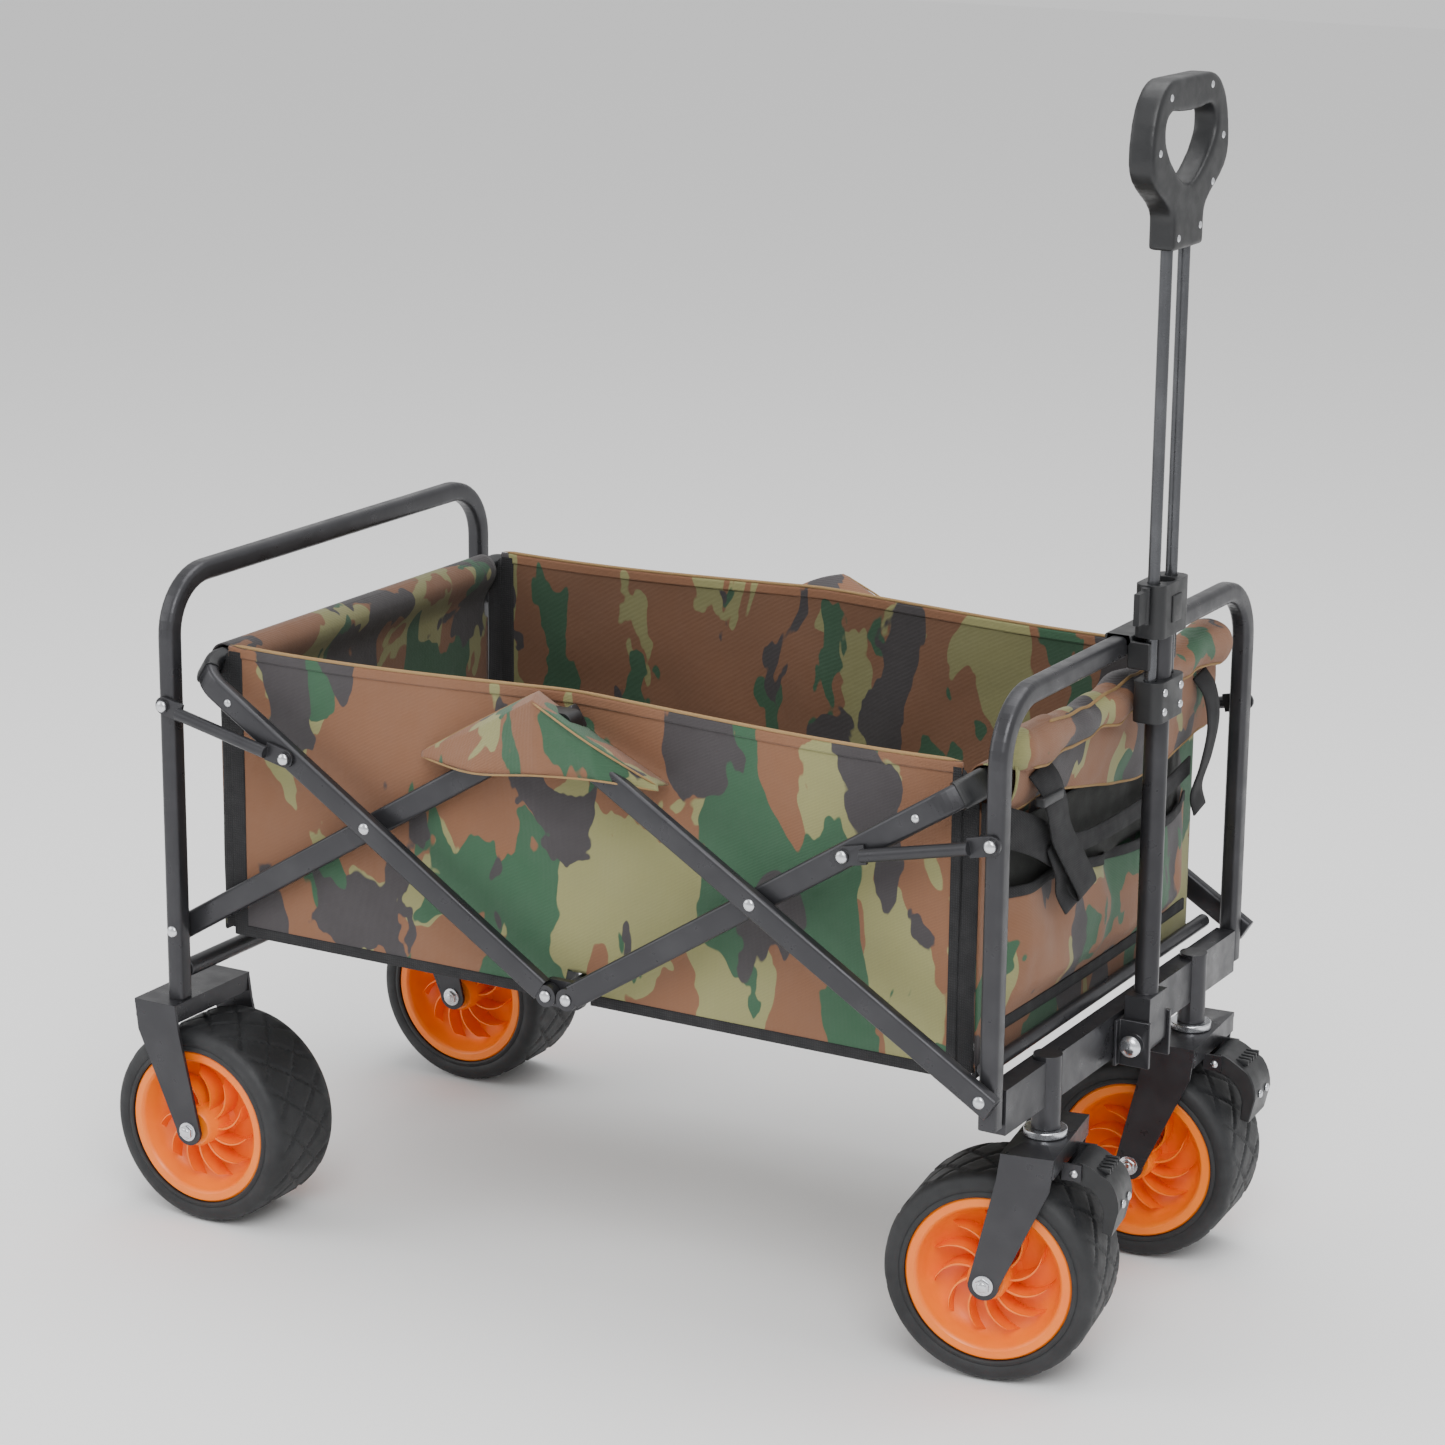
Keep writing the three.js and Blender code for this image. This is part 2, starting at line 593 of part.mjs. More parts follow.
// The clip saddles the front hoop's top bar and its two jaws hold the handle's rods.
function clipGeometry() {
  const barFront = LEG_SPACING + HOOP_WIDE / 2;
  const back = LEG_SPACING - HOOP_WIDE / 2 - CLIP_WALL;
  const front = HANDLE_X + 3;
  const inner = ROD_HALF_SPACING + ROD_RADIUS + 1;
  const outer = inner + CLIP_WALL;
  const saddle = block(back, barFront + CLIP_WALL, -outer, outer, CLIP_BOTTOM, CLIP_TOP + CLIP_WALL);
  const jaws = [-1, 1].map((s) => block(
    barFront + 1, front, Math.min(s * inner, s * outer), Math.max(s * inner, s * outer),
    CLIP_BOTTOM, CLIP_TOP,
  ));
  const barHole = block(
    LEG_SPACING - HOOP_WIDE / 2 - GAP, barFront + GAP, -outer - 1, outer + 1,
    CLIP_BOTTOM - 1, HOOP_TOP + HOOP_DEEP / 2 + GAP,
  );
  return combine(saddle, jaws, [barHole]);
}

// ---------------------------------------------------------------- handle
function footGeometry() {
  const shape = new THREE.Shape();
  shape.moveTo(FOOT_RADIUS, HANDLE_PIVOT_HEIGHT);
  shape.lineTo(FOOT_RADIUS, FOOT_TOP);
  shape.lineTo(-FOOT_RADIUS, FOOT_TOP);
  shape.lineTo(-FOOT_RADIUS, HANDLE_PIVOT_HEIGHT);
  shape.absarc(0, HANDLE_PIVOT_HEIGHT, FOOT_RADIUS, Math.PI, 2 * Math.PI);
  const bore = pinY(
    PIVOT_BOLT_RADIUS + PIN_CLEARANCE, -FOOT_HALF_WIDTH - 1, FOOT_HALF_WIDTH + 1, 0, HANDLE_PIVOT_HEIGHT,
  );
  const tube = pinZ(HANDLE_TUBE_RADIUS, FOOT_TOP - 1, HANDLE_TUBE_TOP);
  return combine(plateXZ(shape, 2 * FOOT_HALF_WIDTH, 8), [tube], [bore]);
}

function sleeveGeometry(bottom, top, halfWidth, rodRadius) {
  const section = roundedRectangle(2 * COLLAR_HALF_LENGTH, 2 * halfWidth, 9);
  const body = new THREE.ExtrudeGeometry(section, {
    depth: top - bottom, bevelEnabled: false, curveSegments: 3,
  });
  body.translate(0, 0, bottom);
  const holes = [pinZ(HANDLE_TUBE_RADIUS + PIN_CLEARANCE, bottom - 1, top + 1)];
  for (const s of [-1, 1]) holes.push(pinZ(rodRadius, bottom - 1, top + 1, 0, s * ROD_HALF_SPACING));
  return combine(body, [], holes);
}

function gripOutline(inset) {
  const w = GRIP_HALF_WIDTH - inset;
  const top = GRIP_TOP - inset;
  const shoulder = top - 0.8 * w;
  const neck = GRIP_NECK_HALF_WIDTH;
  const shape = new THREE.Shape();
  shape.moveTo(-neck, GRIP_BOTTOM);
  shape.lineTo(neck, GRIP_BOTTOM);
  shape.lineTo(neck, GRIP_NECK_TOP);
  shape.bezierCurveTo(neck + 4, GRIP_NECK_TOP + 18, w, shoulder - 26, w, shoulder);
  shape.bezierCurveTo(w, top - 14, w - 24, top, 0.45 * w, top);
  shape.lineTo(-0.45 * w, top);
  shape.bezierCurveTo(-w + 24, top, -w, top - 14, -w, shoulder);
  shape.bezierCurveTo(-w, shoulder - 26, -neck - 4, GRIP_NECK_TOP + 18, -neck, GRIP_NECK_TOP);
  return shape;
}

function gripHole() {
  const w = GRIP_HALF_WIDTH - GRIP_BAR;
  const top = GRIP_TOP - GRIP_BAR;
  const bottom = GRIP_BOTTOM + 2 * GRIP_BAR;
  const hole = new THREE.Path();
  hole.moveTo(0, bottom);
  hole.bezierCurveTo(14, bottom, w, top - 34, w, top - 16);
  hole.bezierCurveTo(w, top - 4, w - 10, top, w - 18, top);
  hole.quadraticCurveTo(0, top - 5, -w + 18, top);
  hole.bezierCurveTo(-w + 10, top, -w, top - 4, -w, top - 16);
  hole.bezierCurveTo(-w, top - 34, -14, bottom, 0, bottom);
  return hole;
}

// One half of the grip: an outline with a finger hole, split from the other at the rods' plane.
function gripHalfGeometry(direction) {
  const thick = GRIP_HALF_THICK - GAP / 2;
  const full = gripOutline(0);
  full.holes.push(gripHole());
  const layer = plateYZ(full, thick, 8).translate(direction * (GAP / 2 + thick / 2), 0, 0);
  const sockets = [-1, 1].map((s) => pinZ(
    ROD_RADIUS + GAP, GRIP_BOTTOM - 1, ROD_TOP + GAP, 0, s * ROD_HALF_SPACING, 16,
  ));
  return combine(layer, [], sockets);
}

function addHandle(frame) {
  place(frame, "handle_bracket", bracketGeometry(), steel);
  place(frame, "handle_clip", clipGeometry(), blackPlastic);
  const handle = pivot(frame, "handle_tilt", HANDLE_X, 0, 0);
  place(handle, "handle_tube", footGeometry(), steel);
  const collarBore = ROD_RADIUS + PIN_CLEARANCE;
  const collar = sleeveGeometry(COLLAR_BOTTOM, COLLAR_TOP, COLLAR_HALF_WIDTH, collarBore);
  place(handle, "handle_collar", collar, blackPlastic);
  const leverY = -COLLAR_HALF_WIDTH - LEVER_BARREL - GAP;
  const lever = pivot(handle, "lock_lever_turn", 0, leverY, 0);
  const half = LEVER_THICK / 2;
  const tab = block(-half, half, -LEVER_WIDE, 0, LEVER_BOTTOM, LEVER_TOP);
  const barrel = pinZ(LEVER_BARREL, LEVER_BOTTOM - 2, LEVER_TOP + 2, 0, 0, 16);
  place(lever, "handle_lock_lever", combine(tab, [barrel]), blackPlastic);
  const slide = pivot(handle, "handle_slide", 0, 0, 0);
  const slider = sleeveGeometry(SLIDER_BOTTOM, SLIDER_TOP, COLLAR_HALF_WIDTH - 2, ROD_RADIUS + GAP);
  place(slide, "handle_slider", slider, blackPlastic);
  for (const [name, s] of SIDES) {
    const rod = pinZ(ROD_RADIUS, ROD_BOTTOM, ROD_TOP, 0, s * ROD_HALF_SPACING, 16);
    place(slide, `handle_rod_${name}`, rod, rodMetal);
  }
  place(slide, "grip_front", gripHalfGeometry(1), blackPlastic);
  place(slide, "grip_rear", gripHalfGeometry(-1), blackPlastic);
}

function addCaster(frame, name, side, turn) {
  const caster = pivot(frame, `caster_${name}_swivel`, CASTER_X, side * CASTER_HALF_TRACK, 0);
  caster.rotation.z = rad(turn);
  place(caster, `caster_fork_${name}`, casterForkGeometry(), steel);
  addWheel(caster, "front", name);
  const brake = pivot(caster, `brake_${name}_turn`, BRAKE_PIVOT_X, 0, BRAKE_PIVOT_Z);
  place(brake, `brake_pedal_${name}`, brakeGeometry(), blackPlastic, -BRAKE_PIVOT_X, 0, -BRAKE_PIVOT_Z);
  place(frame, `caster_bearing_${name}`, bearingGeometry(), zinc, CASTER_X, side * CASTER_HALF_TRACK, 0);
}

function addFrontFrame() {
  const frame = new THREE.Group();
  wagon.add(frame);
  const hoop = boredHoop(FRONT_FOOT, [ARM_PIVOT_HEIGHT, LINK_HEIGHT]);
  place(frame, "front_frame_hoop", hoop, steel, LEG_SPACING, 0, 0);
  place(frame, "front_cross_beam", beamGeometry(), steel, LEG_SPACING, 0, 0);
  addCaster(frame, "left", 1, CASTER_TURN_LEFT);
  addCaster(frame, "right", -1, CASTER_TURN_RIGHT);
  addHandle(frame);
  return frame;
}

// ---------------------------------------------------------------- scissor arms
// A straight flat tube along +X from its low pivot, with bores at the given distances.
function armGeometry(bores, extras = []) {
  const section = roundedRectangle(ARM_WIDE, ARM_THICK, ARM_CORNER);
  const route = new BentRoute([
    new THREE.Vector3(-ARM_END, 0, 0),
    new THREE.Vector3(ARM_LENGTH + ARM_END, 0, 0),
  ], 1);
  const cuts = bores.map((at) => pinY(PIN_RADIUS + PIN_CLEARANCE, -ARM_THICK, ARM_THICK, at, 0, 12));
  let body = solid(sweep(route, section));
  for (const cut of cuts) body = body.subtract(solid(cut));
  for (const extra of extras) body = body.add(solid(extra));
  return geometryOf(body);
}

function tieGeometry() {
  const end = REAR_ARM_LAYER - ARM_THICK / 2 - GAP;
  return pinY(TIE_RADIUS, -end, end);
}

function addRearArms() {
  const arms = pivot(wagon, "fold", 0, 0, ARM_PIVOT_HEIGHT, -rad(ARM_TILT));
  for (const [name, side] of SIDES) {
    const geometry = armGeometry([0, CROSS_ALONG, ARM_LENGTH]);
    place(arms, `rear_arm_${name}`, geometry, steel, 0, side * REAR_ARM_LAYER, 0);
  }
  place(arms, "rear_arm_tie", tieGeometry(), steel, TIE_OFFSET, 0, 0);
}

// The front arms hang outside the legs; their rivets reach in to the legs, the U tube
// and, at the top, through the spacer to the rear arm.
function addFrontArms() {
  const arms = pivot(wagon, "front_arms_low", LEG_SPACING, 0, ARM_PIVOT_HEIGHT, Math.PI + rad(ARM_TILT));
  const face = ARM_THICK / 2;
  const toLeg = -(FRONT_ARM_LAYER - LEG_INNER);
  const toTube = -(FRONT_ARM_LAYER - U_LAYER + ARM_THICK / 2);
  const toRearArm = -(FRONT_ARM_LAYER - REAR_ARM_LAYER + ARM_THICK / 2);
  for (const [name, side] of SIDES) {
    const rivets = [
      ...rivet(side, side * face, side * toLeg, 0, 0),
      ...rivet(side, side * face, side * toTube, CROSS_ALONG, 0),
      ...rivet(side, side * face, side * toRearArm, ARM_LENGTH, 0),
    ];
    place(arms, `front_arm_${name}`, armGeometry([], rivets), steel, 0, side * FRONT_ARM_LAYER, 0);
  }
  place(arms, "front_arm_tie", tieGeometry(), steel, TIE_OFFSET, 0, 0);
}

// U tube in its own frame: low pivots at x = 0, cross part at x = U_LENGTH.
function uTubeGeometry(bores, pins) {
  const y = U_LAYER;
  const corners = [
    new THREE.Vector3(U_END_LENGTH, -y, 0),
    new THREE.Vector3(U_LENGTH, -y, 0),
    new THREE.Vector3(U_LENGTH, y, 0),
    new THREE.Vector3(U_END_LENGTH, y, 0),
  ];
  const section = roundedRectangle(ARM_WIDE, ARM_THICK, ARM_CORNER);
  const tabs = SIDES.flatMap(([, s]) => [
    pinY(U_END_RADIUS, s * y - ARM_THICK / 2 + 0.5, s * y + ARM_THICK / 2 - 0.5, 0, 0, 20),
    block(
      0, U_END_LENGTH + 1, s * y - ARM_THICK / 2 + 0.5, s * y + ARM_THICK / 2 - 0.5,
      -U_END_RADIUS, U_END_RADIUS,
    ),
  ]);
  const cuts = bores.flatMap((at) => SIDES.map(([, s]) =>
    pinY(PIN_RADIUS + PIN_CLEARANCE, s * y - ARM_THICK, s * y + ARM_THICK, at, 0, 12),
  ));
  return combine(combine(sweep(new BentRoute(corners, U_BEND), section), tabs, cuts), pins);
}

function addTopTubes() {
  const outer = U_LAYER + ARM_THICK / 2;
  const armInner = REAR_ARM_LAYER - ARM_THICK / 2;
  const bracketInner = LEG_INNER;
  const spacer = (s) => {
    const ends = [s * (LEG_INNER + GAP), s * (U_LAYER - ARM_THICK / 2 + 1)];
    return pinY(SPACER_RADIUS, Math.min(...ends), Math.max(...ends), U_CROSS_ALONG, 0, 14);
  };
  const rearPins = SIDES.flatMap(([, s]) => [
    spacer(s),
    ...rivet(s, s * outer, s * armInner, U_CROSS_ALONG, 0),
    ...rivet(s, s * outer, s * bracketInner, 0, 0),
  ]);
  const frontPins = SIDES.flatMap(([, s]) => rivet(s, s * outer, s * bracketInner, 0, 0));
  const turn = rad(TOP_TUBE_TILT);
  const rear = pivot(wagon, "rear_top_low", U_LOW_INSET, 0, U_LOW_HEIGHT, Math.PI + turn);
  place(rear, "rear_top_tube", uTubeGeometry([], rearPins), steel);
  const front = pivot(wagon, "front_top_low", LEG_SPACING - U_LOW_INSET, 0, U_LOW_HEIGHT, -turn);
  place(front, "front_top_tube", uTubeGeometry([U_CROSS_ALONG], frontPins), steel);
}

// ---------------------------------------------------------------- joints at the middle
function topJointGeometry() {
  const inner = REAR_ARM_LAYER + ARM_THICK / 2 + GAP;
  const outer = FRONT_ARM_LAYER - ARM_THICK / 2 - GAP;
  const shape = roundedRectangle(34, 26, 8);
  const body = plateXZ(shape, outer - inner, 4);
  const bore = pinY(PIN_RADIUS + PIN_CLEARANCE, -outer, outer, 0, 0, 12);
  return combine(body, [], [bore]).translate(0, (inner + outer) / 2, 0);
}

function centreTubeGeometry() {
  const plateInner = LEG_INNER;
  const plateOuter = U_LAYER - ARM_THICK / 2 - GAP;
  const tube = pinY(ROUND_BAR, -plateInner - 1, plateInner + 1);
  const plates = SIDES.map(([, s]) => {
    const shape = roundedRectangle(2 * CENTRE_PIVOT_OFFSET + 22, 24, 10);
    return plateXZ(shape, plateOuter - plateInner, 4).translate(0, (s * (plateInner + plateOuter)) / 2, 0);
  });
  const holes = [
    [-CENTRE_PIVOT_OFFSET, PIN_RADIUS + PIN_CLEARANCE],
    [CENTRE_PIVOT_OFFSET, PIN_RADIUS + FREE_PIVOT_CLEARANCE],
  ];
  const middle = (plateInner + plateOuter) / 2;
  const bores = SIDES.flatMap(([, s]) => holes.map(([x, radius]) =>
    pinY(radius, s * middle - 5, s * middle + 5, x, 0, 12),
  ));
  return combine(tube, plates, bores);
}

function addMiddle() {
  for (const [name, side] of SIDES) {
    const joint = pivot(wagon, `top_joint_${name}_at`, MIDDLE, 0, TOP_PIVOT_HEIGHT);
    const mesh = place(joint, `top_joint_${name}`, topJointGeometry(), blackPlastic);
    mesh.rotation.z = side > 0 ? 0 : Math.PI;
  }
  place(wagon, "centre_tube", centreTubeGeometry(), steel, MIDDLE, 0, U_LOW_HEIGHT);
}

// ---------------------------------------------------------------- links
// Link along +X from its leg pivot: a round tube with flattened, round-ended tabs.
function linkGeometry(side, length) {
  const inner = 0;
  const tabs = [0, length].map((x) =>
    pinY(LINK_TAB_RADIUS, Math.min(inner, side * LINK_PLATE), Math.max(inner, side * LINK_PLATE), x, 0, 16),
  );
  const flats = [
    [0, LINK_TAB],
    [length - LINK_TAB, length],
  ].map(([x0, x1]) => block(
    x0, x1, Math.min(inner, side * LINK_PLATE), Math.max(inner, side * LINK_PLATE),
    -LINK_TAB_RADIUS, LINK_TAB_RADIUS,
  ));
  const rod = new THREE.CylinderGeometry(LINK_RADIUS, LINK_RADIUS, length - 2 * LINK_TAB + 4, 12);
  rod.rotateZ(Math.PI / 2).translate(length / 2, side * LINK_RADIUS, 0);
  const heads = [0, length].map((x) => {
    const outer = side * (LINK_PLATE + RIVET_HEAD);
    return pinY(RIVET_HEAD_RADIUS, Math.min(side, outer), Math.max(side, outer), x, 0, 14);
  });
  const legPin = [side, -side * LINK_PIN_REACH];
  const pin = pinY(PIN_RADIUS, Math.min(...legPin), Math.max(...legPin), 0, 0, 12);
  return combine(rod, [...tabs, ...flats, ...heads, pin]);
}

function addLinks() {
  const drop = LINK_HEIGHT - LINK_END_HEIGHT;
  const length = Math.hypot(LINK_INSET, drop);
  const tilt = Math.atan2(drop, LINK_INSET);
  const layer = LEG_OUTER + 2 * GAP;
  const rear = pivot(wagon, "rear_links_at", 0, 0, LINK_HEIGHT, tilt);
  const front = pivot(wagon, "front_links_at", LEG_SPACING, 0, LINK_HEIGHT, Math.PI - tilt);
  for (const [name, side] of SIDES) {
    place(rear, `rear_link_${name}`, linkGeometry(side, length), steel, 0, side * layer, 0);
    place(front, `front_link_${name}`, linkGeometry(side, length), steel, 0, side * layer, 0);
  }
}

// ---------------------------------------------------------------- fabric
function flapGeometry(side) {
  const shape = new THREE.Shape();
  shape.moveTo(-FLAP_HALF_LENGTH, FLAP_LOW);
  shape.lineTo(-0.45 * FLAP_HALF_LENGTH, FLAP_SHOULDER);
  shape.lineTo(0.45 * FLAP_HALF_LENGTH, FLAP_SHOULDER);
  shape.lineTo(FLAP_HALF_LENGTH, FLAP_LOW);
  shape.lineTo(0.2 * FLAP_HALF_LENGTH, FLAP_TOP);
  shape.lineTo(-0.2 * FLAP_HALF_LENGTH, FLAP_TOP);
  const face = FRONT_ARM_LAYER + ARM_THICK / 2 + RIVET_HEAD + 1;
  return plateXZ(shape, FLAP_THICK).translate(0, side * (face + FLAP_THICK / 2), 0);
}

// A side wall dips between its corners and rises to the middle; it clears the centre tube.
function sideWallGeometry(reach) {
  const notch = ROUND_BAR + 4;
  const notchTop = U_LOW_HEIGHT + ROUND_BAR + 3;
  const shape = new THREE.Shape();
  shape.moveTo(-reach, CLOTH_BOTTOM);
  shape.lineTo(-notch, CLOTH_BOTTOM);
  shape.lineTo(-notch, notchTop);
  shape.lineTo(notch, notchTop);
  shape.lineTo(notch, CLOTH_BOTTOM);
  shape.lineTo(reach, CLOTH_BOTTOM);
  shape.lineTo(reach, SIDE_WALL_END_TOP);
  shape.quadraticCurveTo(reach / 2, SIDE_WALL_END_TOP - SIDE_WALL_SAG, 0, CLOTH_TOP);
  shape.quadraticCurveTo(-reach / 2, SIDE_WALL_END_TOP - SIDE_WALL_SAG, -reach, SIDE_WALL_END_TOP);
  return plateXZ(shape, CLOTH, 8);
}

// An end wall hangs from a sleeve round the cross part of its U tube.
function endWallGeometry() {
  const sheet = block(
    -CLOTH / 2, CLOTH / 2, -END_WALL_HALF_WIDTH, END_WALL_HALF_WIDTH, CLOTH_BOTTOM, TOP_BAR_HEIGHT,
  );
  const sleeve = pinY(SLEEVE_RADIUS, -SLEEVE_HALF_LENGTH, SLEEVE_HALF_LENGTH, 0, TOP_BAR_HEIGHT, 24);
  const inner = SLEEVE_RADIUS - SLEEVE_CLOTH;
  const reach = END_WALL_HALF_WIDTH + 1;
  return combine(sheet, [sleeve], [pinY(inner, -reach, reach, 0, TOP_BAR_HEIGHT, 24)]);
}

function addFabric() {
  const half = CLOTH / 2;
  const rearX = TOP_BAR_INSET;
  const frontX = LEG_SPACING - TOP_BAR_INSET;
  place(wagon, "rear_wall", endWallGeometry(), camouflage, rearX, 0, 0);
  place(wagon, "front_wall", endWallGeometry(), camouflage, frontX, 0, 0);
  const roll = pinY(ROLL_RADIUS, -ROLL_HALF_LENGTH, ROLL_HALF_LENGTH, 0, 0, 24);
  place(wagon, "front_roll", roll, camouflage, frontX + ROLL_FORWARD, 0, ROLL_HEIGHT);
  const length = LEG_SPACING - 2 * SIDE_WALL_INSET;
  for (const [name, side] of SIDES) {
    const wall = sideWallGeometry(length / 2);
    place(wagon, `side_wall_${name}`, wall, camouflage, MIDDLE, side * SIDE_WALL_Y, 0);
    place(wagon, `side_flap_${name}`, flapGeometry(side), camouflage, MIDDLE, 0, 0);
  }
  const pockets = block(0, POCKET_DEEP, -POCKET_HALF_WIDTH, POCKET_HALF_WIDTH, POCKET_BOTTOM, POCKET_TOP);
  place(wagon, "front_pockets", pockets, camouflage, frontX + half + GAP, 0, 0);
  const low = -FLOOR_THICK / 2;
  const high = FLOOR_THICK / 2;
  const w = FLOOR_HALF_WIDTH;
  const panel = () => block(FLOOR_HINGE_OFFSET, FLOOR_PANEL_LENGTH, -w, w, low, high);
  const rear = pivot(wagon, "floor_rear_hinge", rearX + FLOOR_HINGE_OFFSET, 0, FLOOR_HEIGHT);
  place(rear, "floor_panel_rear", panel(), camouflage);
  const front = pivot(wagon, "floor_front_hinge", frontX - FLOOR_HINGE_OFFSET, 0, FLOOR_HEIGHT);
  place(front, "floor_panel_front", panel().rotateZ(Math.PI), camouflage);
  const strip = block(-FLOOR_CENTRE_HALF_LENGTH, FLOOR_CENTRE_HALF_LENGTH, -w, w, low, high);
  place(wagon, "floor_panel_centre", strip, camouflage, MIDDLE, 0, FLOOR_HEIGHT);
}

// ---------------------------------------------------------------- assembly
addRearFrame();
addFrontFrame();
addRearArms();
addFrontArms();
addTopTubes();
addMiddle();
addLinks();
addFabric();

// The wagon's origin is the middle of its footprint, on the ground.
wagon.updateMatrixWorld(true);
const box = new THREE.Box3().setFromObject(wagon, true);
const origin = box.getCenter(new THREE.Vector3());
const part = new THREE.Group();
wagon.position.set(-origin.x, -origin.y, -box.min.z);
part.add(wagon);

export default part;
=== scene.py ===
import logging
import math
from collections.abc import Callable, Sequence
from dataclasses import dataclass, field
from enum import Enum

import bmesh
import bpy
from mathutils import Matrix, Vector, noise


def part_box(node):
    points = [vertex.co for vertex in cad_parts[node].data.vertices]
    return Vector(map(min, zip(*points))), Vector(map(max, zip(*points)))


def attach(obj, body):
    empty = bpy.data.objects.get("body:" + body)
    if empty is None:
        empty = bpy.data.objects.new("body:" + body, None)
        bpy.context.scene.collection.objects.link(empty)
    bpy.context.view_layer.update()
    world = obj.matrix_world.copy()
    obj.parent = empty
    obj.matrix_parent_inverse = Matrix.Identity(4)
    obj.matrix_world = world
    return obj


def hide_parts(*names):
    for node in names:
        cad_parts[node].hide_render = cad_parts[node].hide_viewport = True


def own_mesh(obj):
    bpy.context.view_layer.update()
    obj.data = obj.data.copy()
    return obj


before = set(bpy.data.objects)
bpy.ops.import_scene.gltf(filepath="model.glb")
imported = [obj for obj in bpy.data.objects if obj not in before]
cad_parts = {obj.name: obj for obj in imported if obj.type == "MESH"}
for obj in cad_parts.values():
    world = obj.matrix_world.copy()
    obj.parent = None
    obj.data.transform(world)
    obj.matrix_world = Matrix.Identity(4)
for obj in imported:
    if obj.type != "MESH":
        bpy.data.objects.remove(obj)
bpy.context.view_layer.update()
log = logging.getLogger("wagon")

MM = 0.001
CHASSIS_X = sum(corner.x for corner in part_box("rear_frame_hoop")) / 2
SIDES = (("left", 1), ("right", -1))
MIDDLE = 396.5
FRONT_LEG = 793.0
WHEEL_Z = 90.0
REAR_WHEEL_X = 22.0
REAR_WHEEL_Y = 210.0
TURNED_EDGE = math.radians(32)
SLANT = (0.0, 1.0, 0.25)
UPRIGHT = (0.0, 0.0, 1.0)


def at(x: float, y: float, z: float) -> Vector:
    """A place given in millimetres from the rear leg plane, in the row frame."""
    return Vector((x * MM + CHASSIS_X, y * MM, z * MM))


def ease(t: float) -> float:
    """A smooth step from 0 to 1."""
    t = min(max(t, 0.0), 1.0)
    return t * t * (3 - 2 * t)


def mix(a: float, b: float, t: float) -> float:
    """The value t of the way from a to b."""
    return a + (b - a) * t


# ------------------------------------------------------------------ finishes
class Recipe:
    """A node material under construction, with the few nodes this wagon needs."""

    def __init__(self, name: str) -> None:
        """Starts a material.

        Args:
            name: the material's name.
        """
        self.material = bpy.data.materials.new(name)
        self.material.use_nodes = True
        self.tree = self.material.node_tree
        self.shader = self.tree.nodes["Principled BSDF"]
        self.place = self.tree.nodes.new("ShaderNodeTexCoord").outputs["Object"]

    def set(self, **values: float) -> None:
        """Sets sockets of the shader, with spaces in their names written as underscores."""
        for name, value in values.items():
            self.shader.inputs[name.replace("_", " ")].default_value = value

    def node(self, kind: str, inputs: dict | None = None, **settings: object) -> bpy.types.Node:
        """Adds a node.

        Args:
            kind: the node's type, without the leading ShaderNode.
            inputs: socket name or number to a value or another node's output.
            settings: the node's own properties.

        Returns:
            The node.
        """
        made = self.tree.nodes.new("ShaderNode" + kind)
        for name, value in settings.items():
            setattr(made, name, value)
        for name, value in (inputs or {}).items():
            if isinstance(value, bpy.types.NodeSocket):
                self.tree.links.new(value, made.inputs[name])
            else:
                made.inputs[name].default_value = value
        return made

    def noise(self, scale: float, detail: float = 3.0, vector: object = None, **more: float) -> object:
        """A noise texture's value output.

        Args:
            scale: how many cells go in a metre.
            detail: how many finer layers it has.
            vector: the coordinates, or None for the object's own.
            more: other inputs, by name in lower case.

        Returns:
            The output.
        """
        inputs = {"Vector": vector or self.place, "Scale": scale, "Detail": detail}
        inputs.update({name.capitalize(): value for name, value in more.items()})
        return self.node("TexNoise", inputs).outputs[0]

    def math(self, operation: str, *values: object) -> object:
        """The output of a Math node on the given values."""
        inputs = dict(enumerate(values))
        return self.node("Math", inputs, operation=operation).outputs[0]

    def range(self, value: object, low: float, high: float, to_low: float, to_high: float) -> object:
        """Maps a value from one range to another, clamped."""
        inputs = {0: value, 1: low, 2: high, 3: to_low, 4: to_high}
        return self.node("MapRange", inputs).outputs[0]

    def blend(self, share: object, under: object, over: object, how: str = "MIX") -> object:
        """Mixes two colours by a share.

        Args:
            share: how much of the upper colour shows, a number or an output.
            under: the lower colour.
            over: the upper colour.
            how: the blend's type.

        Returns:
            The mixed colour's output.
        """
        made = self.node("Mix", data_type="RGBA", blend_type=how)
        for socket, value in ((0, share), (6, under), (7, over)):
            if isinstance(value, bpy.types.NodeSocket):
                self.tree.links.new(value, made.inputs[socket])
            else:
                made.inputs[socket].default_value = value
        return made.outputs[2]

    def feed(self, socket: str, value: object) -> None:
        """Links a value into the shader."""
        self.tree.links.new(value, self.shader.inputs[socket])

    def bump(self, height: object, distance: float, strength: float = 1.0) -> None:
        """Raises the surface by a height value, with the distance in metres."""
        inputs = {"Height": height, "Distance": distance, "Strength": strength}
        self.feed("Normal", self.node("Bump", inputs).outputs[0])


Colour = tuple[float, float, float, float]
Line = tuple[tuple[float, float, float], ...]


def tint(red: int, green: int, blue: int) -> Colour:
    """A colour given as 0 to 255 display values, made linear.

    Args:
        red: the red channel.
        green: the green channel.
        blue: the blue channel.

    Returns:
        The colour with an alpha of 1.
    """
    def linear(value: int) -> float:
        """One channel made linear."""
        c = value / 255
        return c / 12.92 if c <= 0.04045 else ((c + 0.055) / 1.055) ** 2.4
    return linear(red), linear(green), linear(blue), 1.0


